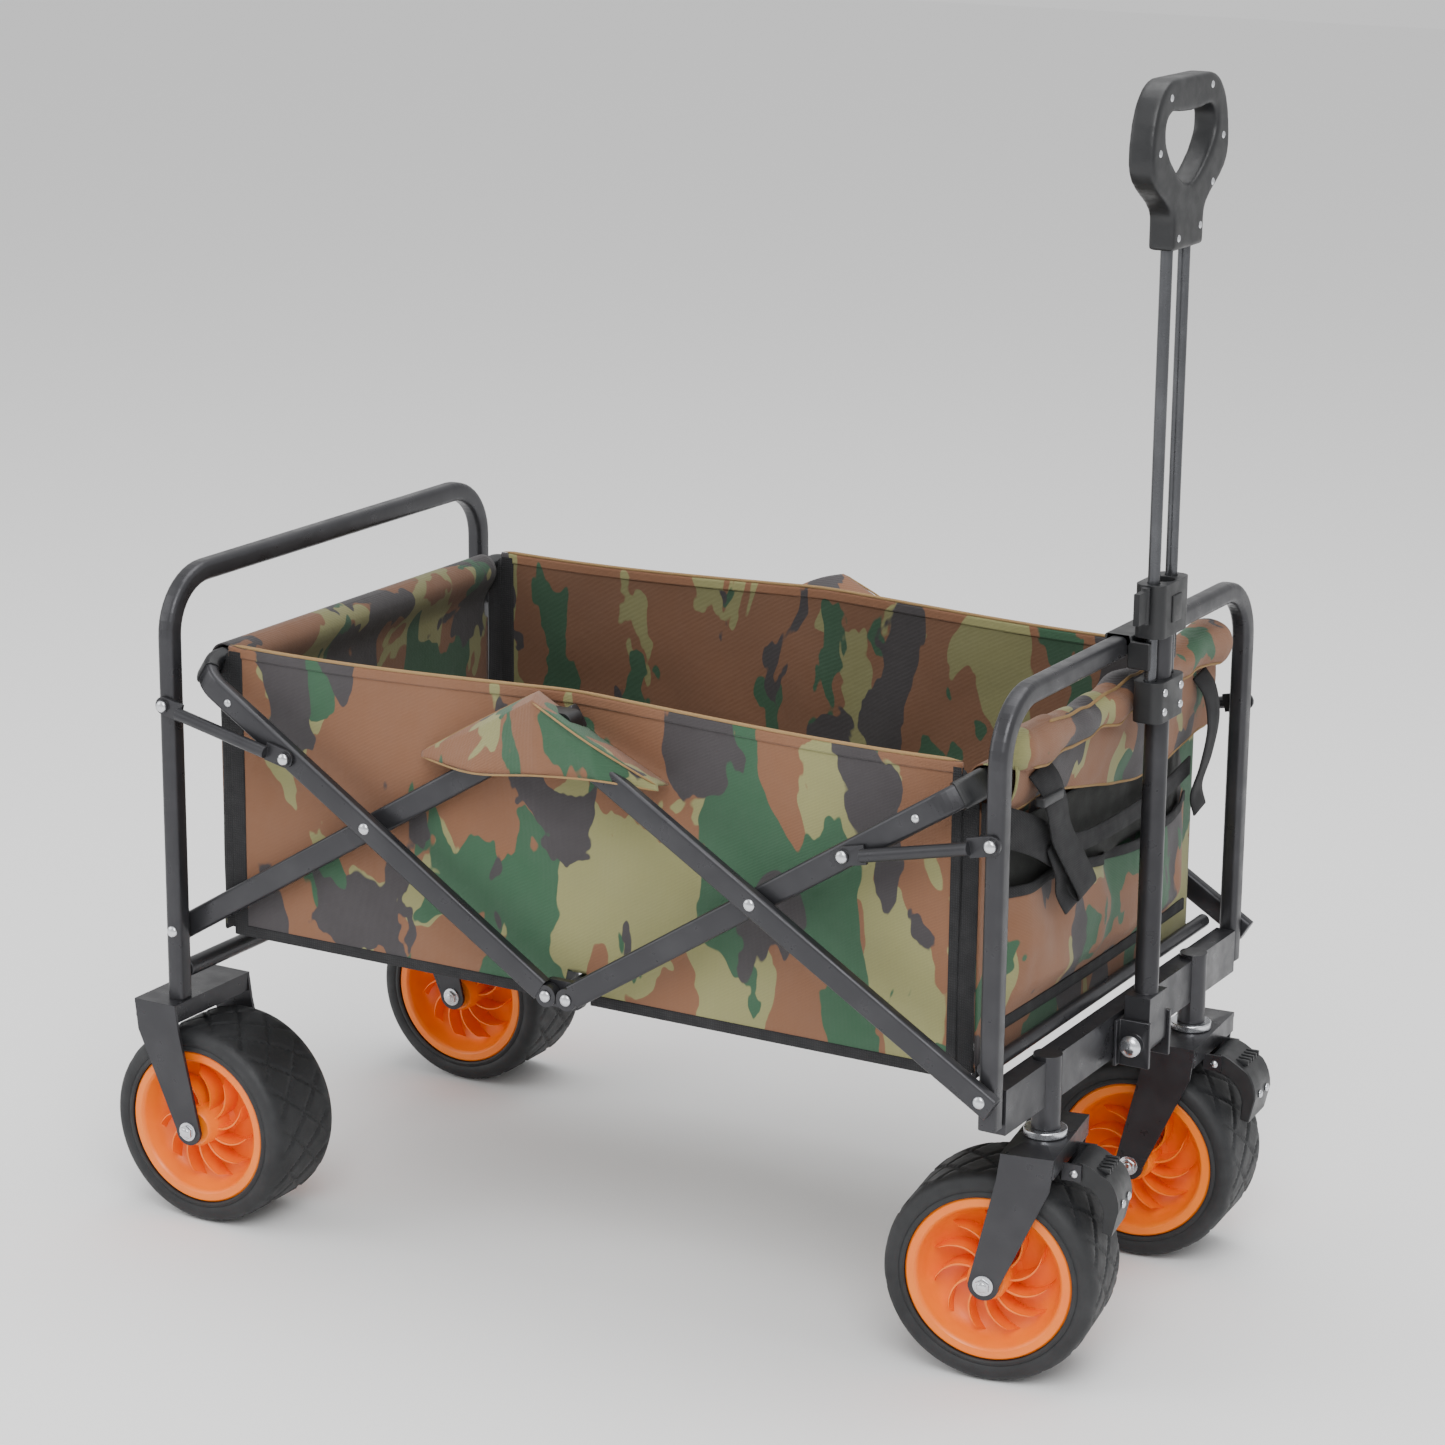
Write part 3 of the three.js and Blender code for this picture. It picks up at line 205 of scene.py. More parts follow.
@dataclass(frozen=True)
class Camouflage:
    """Printed camouflage on coated woven cloth."""

    name: str = "camouflage cloth"
    shade: float = 1.0
    brown: Colour = tint(128, 88, 62)
    khaki: Colour = tint(140, 138, 92)
    green: Colour = tint(50, 88, 62)
    dark: Colour = tint(62, 58, 60)
    blob: float = 12.6
    stretch: float = 0.58
    thread: float = 260.0

    def patch(self, recipe: Recipe, offset: float, threshold: float, place: object) -> object:
        """A ragged printed patch: 1 inside it and 0 outside.

        Args:
            recipe: the material.
            offset: moves this colour's patches away from the others'.
            threshold: how rare the colour is.
            place: the coordinates of the print.

        Returns:
            The mask's output.
        """
        shift = (offset, offset * 0.7, offset * 1.3)
        moved = recipe.node("VectorMath", {0: place, 1: shift}, operation="ADD")
        value = recipe.noise(self.blob, 3.4, moved.outputs[0], roughness=0.53, distortion=0.3)
        return recipe.range(value, threshold - 0.003, threshold + 0.003, 0, 1)

    def material(self) -> bpy.types.Material:
        """Builds the cloth's material.

        Returns:
            The material.
        """
        recipe = Recipe(self.name)
        scaled = recipe.node("Mapping", {"Vector": recipe.place, "Scale": (1, 1, self.stretch)})
        place = scaled.outputs[0]
        colour = recipe.blend(self.patch(recipe, 3.1, 0.558, place), self.brown, self.khaki)
        colour = recipe.blend(self.patch(recipe, 11.7, 0.55, place), colour, self.green)
        colour = recipe.blend(self.patch(recipe, 23.9, 0.57, place), colour, self.dark)
        # Below 1, shade darkens the whole print: for the lining this is partly the cloth's own darker back
        # and partly painted shade.
        low, high = 0.86 * self.shade, 1.08 * self.shade
        fade = recipe.range(recipe.noise(5, 4), 0.3, 0.7, low, high)
        shade = recipe.node("CombineColor", {0: fade, 1: fade, 2: fade})
        colour = recipe.blend(1.0, colour, shade.outputs[0], "MULTIPLY")
        split = recipe.node("SeparateXYZ", {0: recipe.place})
        along = recipe.math("ADD", split.outputs[0], split.outputs[1])
        woven = recipe.node("CombineXYZ", {0: along, 2: split.outputs[2]}).outputs[0]
        threads = []
        for direction in ("X", "Z"):
            wave = recipe.node("TexWave", {"Vector": woven, "Scale": self.thread}, bands_direction=direction)
            threads.append(wave.outputs["Fac"])
        weave = recipe.math("ADD", *threads)
        grain = recipe.range(weave, 0, 2, 0.9, 1.06)
        shade = recipe.node("CombineColor", {0: grain, 1: grain, 2: grain})
        recipe.feed("Base Color", recipe.blend(1.0, colour, shade.outputs[0], "MULTIPLY"))
        recipe.feed("Roughness", recipe.range(recipe.noise(40, 3), 0.3, 0.7, 0.62, 0.8))
        recipe.set(Sheen_Weight=0.12, Specular_IOR_Level=0.4)
        creases = recipe.math("MULTIPLY", recipe.noise(22, 4, roughness=0.6), 9.0)
        recipe.bump(recipe.math("ADD", weave, creases), 0.00025, 0.7)
        return recipe.material


@dataclass(frozen=True)
class SatinMetal:
    """Powder-coated or plated metal with slight mottling and rubbed places."""

    name: str
    colour: Colour
    rubbed: Colour
    metallic: float
    roughness: float
    orange_peel: float = 0.00008

    def material(self) -> bpy.types.Material:
        """Builds the metal's material.

        Returns:
            The material.
        """
        recipe = Recipe(self.name)
        wear = recipe.range(recipe.noise(26, 3), 0.45, 0.75, 0, 0.6)
        recipe.feed("Base Color", recipe.blend(wear, self.colour, self.rubbed))
        low, high = self.roughness - 0.06, self.roughness + 0.08
        recipe.feed("Roughness", recipe.range(recipe.noise(60, 4), 0.35, 0.65, low, high))
        recipe.set(Metallic=self.metallic)
        recipe.bump(recipe.noise(700, 2), self.orange_peel, 0.6)
        return recipe.material


@dataclass(frozen=True)
class Moulded:
    """Moulded plastic or rubber with a fine spark-eroded grain."""

    name: str
    colour: Colour
    worn: Colour
    roughness: float
    grain: float = 900.0
    depth: float = 0.00012
    coat: float = 0.0

    def material(self) -> bpy.types.Material:
        """Builds the moulding's material.

        Returns:
            The material.
        """
        recipe = Recipe(self.name)
        wear = recipe.range(recipe.noise(18, 5, roughness=0.6), 0.42, 0.72, 0, 1)
        recipe.feed("Base Color", recipe.blend(wear, self.colour, self.worn))
        low, high = self.roughness - 0.05, self.roughness + 0.08
        recipe.feed("Roughness", recipe.range(recipe.noise(75, 3), 0.35, 0.65, low, high))
        recipe.set(Coat_Weight=self.coat, Coat_Roughness=0.2)
        recipe.bump(recipe.noise(self.grain, 2), self.depth, 0.7)
        return recipe.material


@dataclass(frozen=True)
class Webbing:
    """Black woven tape with ribs across it."""

    name: str = "black webbing"
    colour: Colour = tint(22, 22, 24)
    light: Colour = tint(46, 46, 49)
    rib: float = 150.0

    def material(self) -> bpy.types.Material:
        """Builds the tape's material.

        Returns:
            The material.
        """
        recipe = Recipe(self.name)
        split = recipe.node("SeparateXYZ", {0: recipe.place})
        sums = [recipe.math("ADD", split.outputs[a], split.outputs[b]) for a, b in ((0, 1), (1, 2))]
        woven = recipe.node("CombineXYZ", {0: sums[0], 2: sums[1]}).outputs[0]
        waves = [
            recipe.node("TexWave", {"Vector": woven, "Scale": self.rib}, bands_direction=d).outputs["Fac"]
            for d in ("X", "Z")
        ]
        ribs = recipe.math("MULTIPLY", *waves)
        fluff = recipe.math("MULTIPLY", ribs, recipe.noise(90, 3))
        recipe.feed("Base Color", recipe.blend(fluff, self.colour, self.light))
        recipe.feed("Roughness", recipe.range(recipe.noise(60, 3), 0.3, 0.7, 0.7, 0.88))
        recipe.bump(ribs, 0.0004, 0.8)
        return recipe.material


class Finish(Enum):
    """The finishes of the wagon, each with the record's slot it belongs to."""

    CLOTH = ("camouflage_fabric", Camouflage())
    # The lining is the print darkened to 0.6: partly the darker uncoated back of the cloth, partly painted
    # shade for the shaded inside of the tub.
    LINING = ("camouflage_fabric", Camouflage("camouflage lining with painted shade", 0.6))
    TAPE = ("camouflage_fabric", Webbing())
    NET = ("camouflage_fabric", Webbing("pocket net", tint(26, 27, 26), tint(66, 68, 62), 330))
    PIPING = ("camouflage_fabric", Webbing("khaki piping", tint(146, 116, 76), tint(172, 144, 98), 300))
    FRAME = (
        "frame_metal",
        SatinMetal("charcoal powder coat", tint(54, 54, 57), tint(66, 66, 69), 0.5, 0.33),
    )
    ZINC = ("zinc", SatinMetal("zinc plate", tint(214, 216, 220), tint(186, 188, 192), 0.95, 0.24))
    ROD = ("rod_metal", SatinMetal("grey anodised rod", tint(84, 85, 88), tint(104, 105, 108), 0.8, 0.27))
    TYRE = (
        "tyre",
        Moulded("black tread rubber", tint(28, 29, 31), tint(40, 41, 43), 0.6, 420, 0.0003),
    )
    RIM = (
        "rim",
        Moulded("orange moulding", tint(250, 124, 4), tint(244, 110, 2), 0.4, 1200, 0.00004, 0.1),
    )
    PLASTIC = ("black_plastic", Moulded("black moulding", tint(24, 25, 27), tint(34, 35, 37), 0.42))

    @property
    def slot(self) -> str:
        """The record's material slot."""
        return self.value[0]

    @property
    def material(self) -> bpy.types.Material:
        """The finish's material, built once."""
        recipe = self.value[1]
        return bpy.data.materials.get(recipe.name) or recipe.material()


# ------------------------------------------------------------------ making pieces
def show(
    bm: bmesh.types.BMesh,
    name: str,
    body: str,
    finish: Finish,
    stands_for: Sequence[str] = (),
    wall: float = 0.0,
    bevel: float = 0.0,
    outward: Vector | None = None,
) -> bpy.types.Object:
    """Makes a shown piece from a mesh that is already in place.

    Args:
        bm: the mesh, which is used up.
        name: the piece's name.
        body: the CAD body it rides on.
        finish: its finish.
        stands_for: the CAD nodes it replaces.
        wall: thickness in millimetres to give an open sheet.
        bevel: width in millimetres of a bevel on its sharp edges.
        outward: the way a lined sheet's printed side looks.

    Returns:
        The piece.
    """
    bmesh.ops.remove_doubles(bm, verts=bm.verts, dist=1e-6)
    bmesh.ops.recalc_face_normals(bm, faces=bm.faces)
    if outward and sum(face.calc_area() * face.normal.dot(outward) for face in bm.faces) < 0:
        bmesh.ops.reverse_faces(bm, faces=bm.faces)
    mesh = bpy.data.meshes.new(name)
    bm.to_mesh(mesh)
    bm.free()
    mesh.shade_smooth()
    if not wall:
        mesh.set_sharp_from_angle(angle=TURNED_EDGE)
    mesh.materials.append(finish.material)
    piece = bpy.data.objects.new(name, mesh)
    bpy.context.scene.collection.objects.link(piece)
    if wall:
        solid = piece.modifiers.new("wall", "SOLIDIFY")
        solid.thickness = wall * MM
        solid.offset = 0
        if outward:
            # Inner faces take the lining, whose darkness is partly painted shade.
            mesh.materials.append(Finish.LINING.material)
            solid.material_offset = 1
    if bevel:
        edge = piece.modifiers.new("edge", "BEVEL")
        edge.width = bevel * MM
        edge.segments = 2
        edge.limit_method = "ANGLE"
        edge.angle_limit = TURNED_EDGE
        edge.harden_normals = False
    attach(piece, body)
    if stands_for:
        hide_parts(*stands_for)
    log.info("made %s, %d faces", name, len(mesh.polygons))
    return piece


def copy_of(node: str) -> bmesh.types.BMesh:
    """A merged copy of a CAD node's mesh, with its flat faces whole.

    Args:
        node: the CAD node's name.

    Returns:
        The mesh, in place.
    """
    bm = bmesh.new()
    bm.from_mesh(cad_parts[node].data)
    bmesh.ops.remove_doubles(bm, verts=bm.verts, dist=2e-5)
    bmesh.ops.dissolve_limit(
        bm, angle_limit=math.radians(1.5), verts=bm.verts, edges=bm.edges, use_dissolve_boundaries=False
    )
    return bm


def join(*parts: bmesh.types.BMesh) -> bmesh.types.BMesh:
    """One mesh from several, which are used up.

    Args:
        parts: the meshes.

    Returns:
        The joined mesh.
    """
    whole = bmesh.new()
    for part in parts:
        mesh = bpy.data.meshes.new("part")
        part.to_mesh(mesh)
        part.free()
        whole.from_mesh(mesh)
        bpy.data.meshes.remove(mesh)
    return whole


def turned(profile: Sequence[tuple[float, float]], sides: int) -> bmesh.types.BMesh:
    """Turns a closed or axis-to-axis profile about Y.

    Args:
        profile: radius and height pairs in millimetres.
        sides: how many facets round.

    Returns:
        The mesh, at the origin.
    """
    bm = bmesh.new()
    ring = [bm.verts.new((r * MM, h * MM, 0)) for r, h in profile]
    edges = [bm.edges.new(pair) for pair in zip(ring, ring[1:])]
    if profile[0][0] > 0 and profile[0] != profile[-1]:
        edges.append(bm.edges.new((ring[-1], ring[0])))
    bmesh.ops.spin(
        bm, geom=ring + edges, axis=(0, 1, 0), cent=(0, 0, 0), steps=sides,
        angle=2 * math.pi, use_merge=True, use_duplicate=False,
    )
    bmesh.ops.remove_doubles(bm, verts=bm.verts, dist=1e-6)
    return bm


def facing(normal: Vector) -> Matrix:
    """The rotation that takes +Z to a direction."""
    return normal.to_track_quat("Z", "Y").to_matrix().to_4x4()


def domed(place: Vector, normal: Vector, radius: float, height: float) -> bmesh.types.BMesh:
    """A domed head standing on a face.

    Args:
        place: the middle of its foot.
        normal: the way it stands out.
        radius: in millimetres.
        height: in millimetres.

    Returns:
        The mesh, in place.
    """
    bm = bmesh.new()
    bmesh.ops.create_uvsphere(bm, u_segments=20, v_segments=12, radius=1.0)
    bmesh.ops.bisect_plane(
        bm, geom=bm.verts[:] + bm.edges[:] + bm.faces[:], plane_co=(0, 0, 0), plane_no=(0, 0, 1),
        clear_inner=True,
    )
    rim = [edge for edge in bm.edges if edge.is_boundary]
    bmesh.ops.holes_fill(bm, edges=rim, sides=0)
    bmesh.ops.scale(bm, verts=bm.verts, vec=(radius * MM, radius * MM, height * MM))
    bmesh.ops.transform(bm, verts=bm.verts, matrix=Matrix.Translation(place) @ facing(normal))
    return bm


def drum(place: Vector, normal: Vector, radius: float, height: float, sides: int = 24) -> bmesh.types.BMesh:
    """A cylinder that stands on a face, with its top edge bevelled.

    Args:
        place: the middle of its foot.
        normal: the way it stands out.
        radius: in millimetres.
        height: in millimetres.
        sides: how many facets round.

    Returns:
        The mesh, in place.
    """
    bm = bmesh.new()
    bmesh.ops.create_cone(
        bm, segments=sides, radius1=radius * MM, radius2=radius * MM, depth=height * MM, cap_ends=True,
    )
    bmesh.ops.translate(bm, verts=bm.verts, vec=(0, 0, height * MM / 2))
    top = [e for e in bm.edges if all(v.co.z > height * MM * 0.9 for v in e.verts)]
    bmesh.ops.bevel(
        bm, geom=top, offset=min(0.8, height * 0.3) * MM, segments=2, profile=0.5,
        affect="EDGES", material=-1,
    )
    bmesh.ops.transform(bm, verts=bm.verts, matrix=Matrix.Translation(place) @ facing(normal))
    return bm


def slab(low: Vector, high: Vector, round_by: float = 0.0) -> bmesh.types.BMesh:
    """A block between two corners with rounded edges.

    Args:
        low: its lowest corner.
        high: its highest corner.
        round_by: its edges' radius in millimetres.

    Returns:
        The mesh, in place.
    """
    bm = bmesh.new()
    bmesh.ops.create_cube(bm, size=1.0)
    bmesh.ops.scale(bm, verts=bm.verts, vec=high - low)
    bmesh.ops.translate(bm, verts=bm.verts, vec=(low + high) / 2)
    if round_by:
        bmesh.ops.bevel(
            bm, geom=bm.edges[:], offset=round_by * MM, segments=3, profile=0.5,
            affect="EDGES", material=-1,
        )
    return bm


class TubeBender:
    """Bends one length of tube, run by run, from a rounded section."""

    def __init__(
        self, wide: float, deep: float, corner: float, start: Vector, heading: Vector, across: Vector,
    ) -> None:
        """Cuts the section and stands it at the start.

        Args:
            wide: the section's size along across, in millimetres.
            deep: its other size.
            corner: its corner radius.
            start: where the tube begins.
            heading: the way it goes.
            across: a direction square to the heading.
        """
        self.bm = bmesh.new()
        self.place = start.copy()
        self.heading = heading.normalized()
        bmesh.ops.create_grid(self.bm, x_segments=1, y_segments=1, size=0.5)
        bmesh.ops.scale(self.bm, verts=self.bm.verts, vec=(wide * MM, deep * MM, 1))
        bmesh.ops.bevel(
            self.bm, geom=self.bm.verts[:], offset=corner * MM, segments=5, profile=0.5,
            affect="VERTICES", material=-1,
        )
        third = self.heading.cross(across.normalized())
        turn = Matrix((across.normalized(), third, self.heading)).transposed().to_4x4()
        bmesh.ops.transform(self.bm, verts=self.bm.verts, matrix=Matrix.Translation(start) @ turn)
        self.tip = self.bm.faces[:]

    def grow(self) -> list[bmesh.types.BMVert]:
        """Extrudes the tip in place and returns its new vertices.

        Returns:
            The new vertices, still where the old ones are.
        """
        made = bmesh.ops.extrude_face_region(self.bm, geom=self.tip)["geom"]
        self.tip = [g for g in made if isinstance(g, bmesh.types.BMFace)]
        return [g for g in made if isinstance(g, bmesh.types.BMVert)]

    def run(self, length: float) -> "TubeBender":
        """Adds a straight length.

        Args:
            length: in millimetres.

        Returns:
            The bender itself.
        """
        step = self.heading * length * MM
        bmesh.ops.translate(self.bm, verts=self.grow(), vec=step)
        self.place += step
        return self

    def turn(self, degrees: float, radius: float, toward: Vector, steps: int = 12) -> "TubeBender":
        """Adds a bend towards a direction square to the heading.

        Args:
            degrees: how far it bends.
            radius: of the tube's middle line, in millimetres.
            toward: the side it bends to.
            steps: how many rings the bend has.

        Returns:
            The bender itself.
        """
        centre = self.place + toward.normalized() * radius * MM
        axis = self.heading.cross(toward)
        step = Matrix.Rotation(math.radians(degrees) / steps, 3, axis)
        for _ in range(steps):
            bmesh.ops.rotate(self.bm, verts=self.grow(), cent=centre, matrix=step)
            self.place = centre + step @ (self.place - centre)
            self.heading = step @ self.heading
        return self


def cloth_grid(columns: int, rows: int, shape: Callable[[float, float], Vector]) -> bmesh.types.BMesh:
    """A sheet laid over a shape.

    Args:
        columns: squares along u.
        rows: squares along v.
        shape: the place of the point u, v, each from 0 to 1.

    Returns:
        The mesh.
    """
    bm = bmesh.new()
    bmesh.ops.create_grid(bm, x_segments=columns, y_segments=rows, size=0.5)
    for vertex in bm.verts:
        vertex.co = shape(vertex.co.x + 0.5, vertex.co.y + 0.5)
    return bm


def along(points: Sequence[Vector], t: float) -> Vector:
    """The place t of the way along a run of points, rounded at its corners.

    Args:
        points: the run.
        t: from 0 to 1.

    Returns:
        The place.
    """
    spans = len(points) - 1
    place = min(max(t, 0.0), 1.0) * spans
    i = min(int(place), spans - 1)
    p1, p2 = points[i], points[i + 1]
    p0 = points[i - 1] if i else p1 * 2 - p2
    p3 = points[i + 2] if i + 2 <= spans else p2 * 2 - p1
    u = place - i
    return 0.5 * (
        2 * p1 + (p2 - p0) * u + (2 * p0 - 5 * p1 + 4 * p2 - p3) * u * u
        + (3 * p1 - p0 - 3 * p2 + p3) * u ** 3
    )


def ribbon(points: Sequence[Vector], across: Vector, width: float, per_span: int = 8) -> bmesh.types.BMesh:
    """A flat tape laid along points.

    Args:
        points: the tape's middle line.
        across: the direction of its width.
        width: in millimetres.
        per_span: squares between two points.

    Returns:
        The mesh.
    """
    half = across.normalized() * width * MM / 2
    steps = per_span * (len(points) - 1)
    return cloth_grid(steps, 4, lambda u, v: along(points, u) + half * (2 * v - 1))


def straight(points: Sequence[Vector], t: float) -> Vector:
    """The place t of the way along a run of points, creased at its corners.

    Args:
        points: the run.
        t: from 0 to 1.

    Returns:
        The place.
    """
    place = min(max(t, 0.0), 1.0) * (len(points) - 1)
    i = min(int(place), len(points) - 2)
    return points[i].lerp(points[i + 1], place - i)


def cord(points: Sequence[Vector], radius: float, steps: int) -> bmesh.types.BMesh:
    """A thin piping cord laid along points, tapered to nothing at its ends.

    Args:
        points: the cord's middle line.
        radius: in millimetres.
        steps: rings along it.

    Returns:
        The mesh.
    """
    def place(u: float, v: float) -> Vector:
        """A place on the cord, u along it and v round it.

        Args:
            u: from 0 to 1.
            v: from 0 to 1.

        Returns:
            The place.
        """
        near, far = along(points, max(u - 0.004, 0)), along(points, min(u + 0.004, 1))
        way = (far - near).normalized()
        side = way.cross(Vector((0.31, 0.17, 0.93))).normalized()
        r = radius * MM * (0.05 + 0.95 * ease(min(u, 1 - u) * steps / 3))
        turn = 2 * math.pi * v
        return along(points, u) + (side * math.cos(turn) + way.cross(side) * math.sin(turn)) * r

    return cloth_grid(steps, 8, place)


def wrinkle(place: Vector, size: float, seed: float, height: float) -> float:
    """A soft random height over a place, in millimetres."""
    return height * noise.noise(place / (size * MM) + Vector((seed, seed * 0.37, seed * 1.7)))


# ------------------------------------------------------------------ frame
@dataclass
class FrameTubes:
    """The two hoops, the scissor arms and the U tubes."""

    leg_y: float = 242.0
    hoop_top: float = 583.0
    hoop_bend: float = 50.0
    hoop_section: tuple[float, float, float] = (18.0, 16.0, 5.0)
    arm_section: tuple[float, float, float] = (21.0, 11.0, 3.4)
    arm_pivot: float = 268.0
    arm_tilt: float = math.radians(31.5)
    arm_length: float = 465.03
    arm_past: float = 11.0
    u_layer: float = 245.5
    u_tilt: float = math.radians(32.9)
    u_low: tuple[float, float] = (386.5, 278.1)
    u_length: float = 424.59
    u_bend: float = 28.0
    leg_face: float = 251.0
    rear_foot: float = 205.3
    front_foot: float = 240.0
    tip_bevel: float = 1.2
    tab_start: float = 7.0
    tab_radius: float = 9.6
    tab_inset: float = 4.8
    cap_wall: float = 3.0
    cap_run: float = 9.0
    cap_turn: float = 46.0
    cap_screw: float = 44.0
    layers: dict[str, float] = field(default_factory=lambda: {"rear": 227.2, "front": 258.0})

    def hoop(self, end: str, x: float, foot: float) -> None:
        """Bends a hoop and stands it on its feet.

        Args:
            end: rear or front.
            x: its plane, in millimetres.
            foot: the height of its feet.
        """
        rise = self.hoop_top - self.hoop_bend - foot
        span = 2 * (self.leg_y - self.hoop_bend)
        wide, deep, corner = self.hoop_section
        up, over = Vector((0, 0, 1)), Vector((0, 1, 0))
        tube = TubeBender(wide, deep, corner, at(x, -self.leg_y, foot), up, over)
        tube.run(rise).turn(90, self.hoop_bend, over).run(span).turn(90, self.hoop_bend, -up).run(rise)
        show(tube.bm, f"{end}_hoop_tube", f"{end}_frame", Finish.FRAME, [f"{end}_frame_hoop"])

    def arm(self, end: str, name: str, side: int) -> None:
        """Makes one straight scissor arm with rounded ends.

        Args:
            end: rear or front, where its low end is.
            name: left or right.
            side: +1 on the left, -1 on the right.
        """
        start_x = 0.0 if end == "rear" else FRONT_LEG
        way = 1 if end == "rear" else -1
        heading = Vector((way * math.cos(self.arm_tilt), 0, math.sin(self.arm_tilt)))
        edge = heading.cross(Vector((0, 1, 0)))
        y = side * self.layers[end]
        wide, deep, corner = self.arm_section
        low = at(start_x, y, self.arm_pivot)
        tube = TubeBender(wide, deep, corner, low - heading * self.arm_past * MM, heading, edge)
        tube.run(self.arm_length + 2 * self.arm_past)
        bm = tube.bm
        tips = [e for e in bm.edges if abs((e.verts[0].co - e.verts[1].co).dot(heading)) < 1e-6]
        bmesh.ops.bevel(
            bm, geom=tips, offset=self.tip_bevel * MM, segments=3, profile=0.5, affect="EDGES", material=-1,
        )
        show(bm, f"{end}_arm_bar_{name}", f"{end}_arms", Finish.FRAME, [f"{end}_arm_{name}"])

    def u_tube(self, end: str) -> None:
        """Bends a U tube, with a flattened round tab at each low end.

        Args:
            end: rear or front.
        """
        low_x, low_z = self.u_low
        way = -1 if end == "rear" else 1
        low_x = low_x if end == "rear" else FRONT_LEG - low_x
        heading = Vector((way * math.cos(self.u_tilt), 0, math.sin(self.u_tilt)))
        over = Vector((0, 1, 0))
        normal = heading.cross(over)
        wide, deep, corner = self.arm_section
        start = at(low_x, -self.u_layer, low_z) + heading * self.tab_start * MM
        tube = TubeBender(wide, deep, corner, start, heading, normal)
        run = self.u_length - self.tab_start - self.u_bend
        span = 2 * (self.u_layer - self.u_bend)
        tube.run(run).turn(90, self.u_bend, over).run(span).turn(90, self.u_bend, -heading).run(run)
        tabs = [
            drum(at(low_x, side * self.u_layer - self.tab_inset, low_z), over,
                 self.tab_radius, 2 * self.tab_inset, 32)
            for _, side in SIDES
        ]
        show(join(tube.bm, *tabs), f"{end}_u_tube", f"{end}_top", Finish.FRAME, [f"{end}_top_tube"])
        for name, side in SIDES:
            self.corner_wrap(end, name, side, heading, normal)

    def corner_wrap(self, end: str, name: str, side: int, heading: Vector, normal: Vector) -> None:
        """Puts a black cap on the end of a U tube's bar.

        Args:
            end: rear or front.
            name: left or right.
            side: +1 on the left, -1 on the right.
            heading: the way the tube's legs rise.
            normal: square to the tube's plane.
        """
        low_x, low_z = self.u_low
        low_x = low_x if end == "rear" else FRONT_LEG - low_x
        wide, deep, corner = self.arm_section
        edge = side * (self.u_layer - self.u_bend - self.cap_run)
        bar = at(low_x, edge, low_z) + heading * self.u_length * MM
        wide, deep = wide + self.cap_wall, deep + self.cap_wall
        cap = TubeBender(wide, deep, corner + 1.2, bar, Vector((0, side, 0)), normal)
        cap.run(self.cap_run).turn(self.cap_turn, self.u_bend, -heading)
        show(cap.bm, f"{end}_corner_cap_{name}", f"{end}_top", Finish.PLASTIC, bevel=0.6)
        spot = at(low_x, side * self.leg_face, low_z) + heading * (self.u_length - self.cap_screw) * MM
        screw = domed(spot, Vector((0, side, 0)), 3.6, 1.8)
        show(screw, f"{end}_corner_screw_{name}", f"{end}_top", Finish.ZINC)

    def plain_parts(self) -> None:
        """Dresses the frame's smaller steel parts, with softened edges."""
        parts = {
            "rear_frame": ["rear_lower_bar", "rear_fork_left", "rear_fork_right"],
            "front_frame": ["front_cross_beam", "handle_bracket"],
            "rear_arms": ["rear_arm_tie"],
            "front_arms": ["front_arm_tie"],
            "centre": ["centre_tube"],
            "caster_left": ["caster_fork_left"],
            "caster_right": ["caster_fork_right"],
            "rear_links": ["rear_link_left", "rear_link_right"],
            "front_links": ["front_link_left", "front_link_right"],
        }
        for body, nodes in parts.items():
            for node in nodes:
                show(copy_of(node), f"{node}_steel", body, Finish.FRAME, [node], bevel=0.7)

    def build(self) -> None:
        """Makes all of the frame's tubes."""
        self.hoop("rear", 0, self.rear_foot)
        self.hoop("front", FRONT_LEG, self.front_foot)
        for name, side in SIDES:
            self.arm("rear", name, side)
            self.arm("front", name, side)
        self.u_tube("rear")
        self.u_tube("front")
        self.plain_parts()


@dataclass
class Rivets:
    """The bright rivet heads and bolts on the frame, grouped by the body they ride on."""

    radius: float = 5.2
    height: float = 2.6
    leg_face: float = 251.0
    arm_face: float = 263.5
    link_face: float = 256.9
    low: tuple[tuple[float, float], ...] = ((0.0, 268.0),)
    outer_arm: tuple[tuple[float, float], ...] = ((793.0, 268.0), (586.5, 394.54), (396.5, 510.98))
    rear_tube: tuple[tuple[float, float], ...] = ((206.5, 394.54), (386.5, 278.1))
    front_tube: tuple[tuple[float, float], ...] = ((406.5, 278.1),)
    rear_link: tuple[tuple[float, float], ...] = ((0.0, 474.0), (128.0, 445.33))
    front_link: tuple[tuple[float, float], ...] = ((793.0, 474.0), (665.0, 445.33))

    def build(self) -> None:
        """Sets every rivet on both sides."""
        groups = (
            ("rear_frame", self.low, self.leg_face),
            ("front_arms", self.outer_arm, self.arm_face),
            ("rear_top", self.rear_tube, self.leg_face),
            ("front_top", self.front_tube, self.leg_face),
            ("rear_links", self.rear_link, self.link_face),
            ("front_links", self.front_link, self.link_face),
        )
        for body, places, face in groups:
            heads = [
                domed(at(x, side * face, z), Vector((0, side, 0)), self.radius, self.height)
                for x, z in places for _, side in SIDES
            ]
            show(join(*heads), f"{body}_rivets", body, Finish.ZINC)


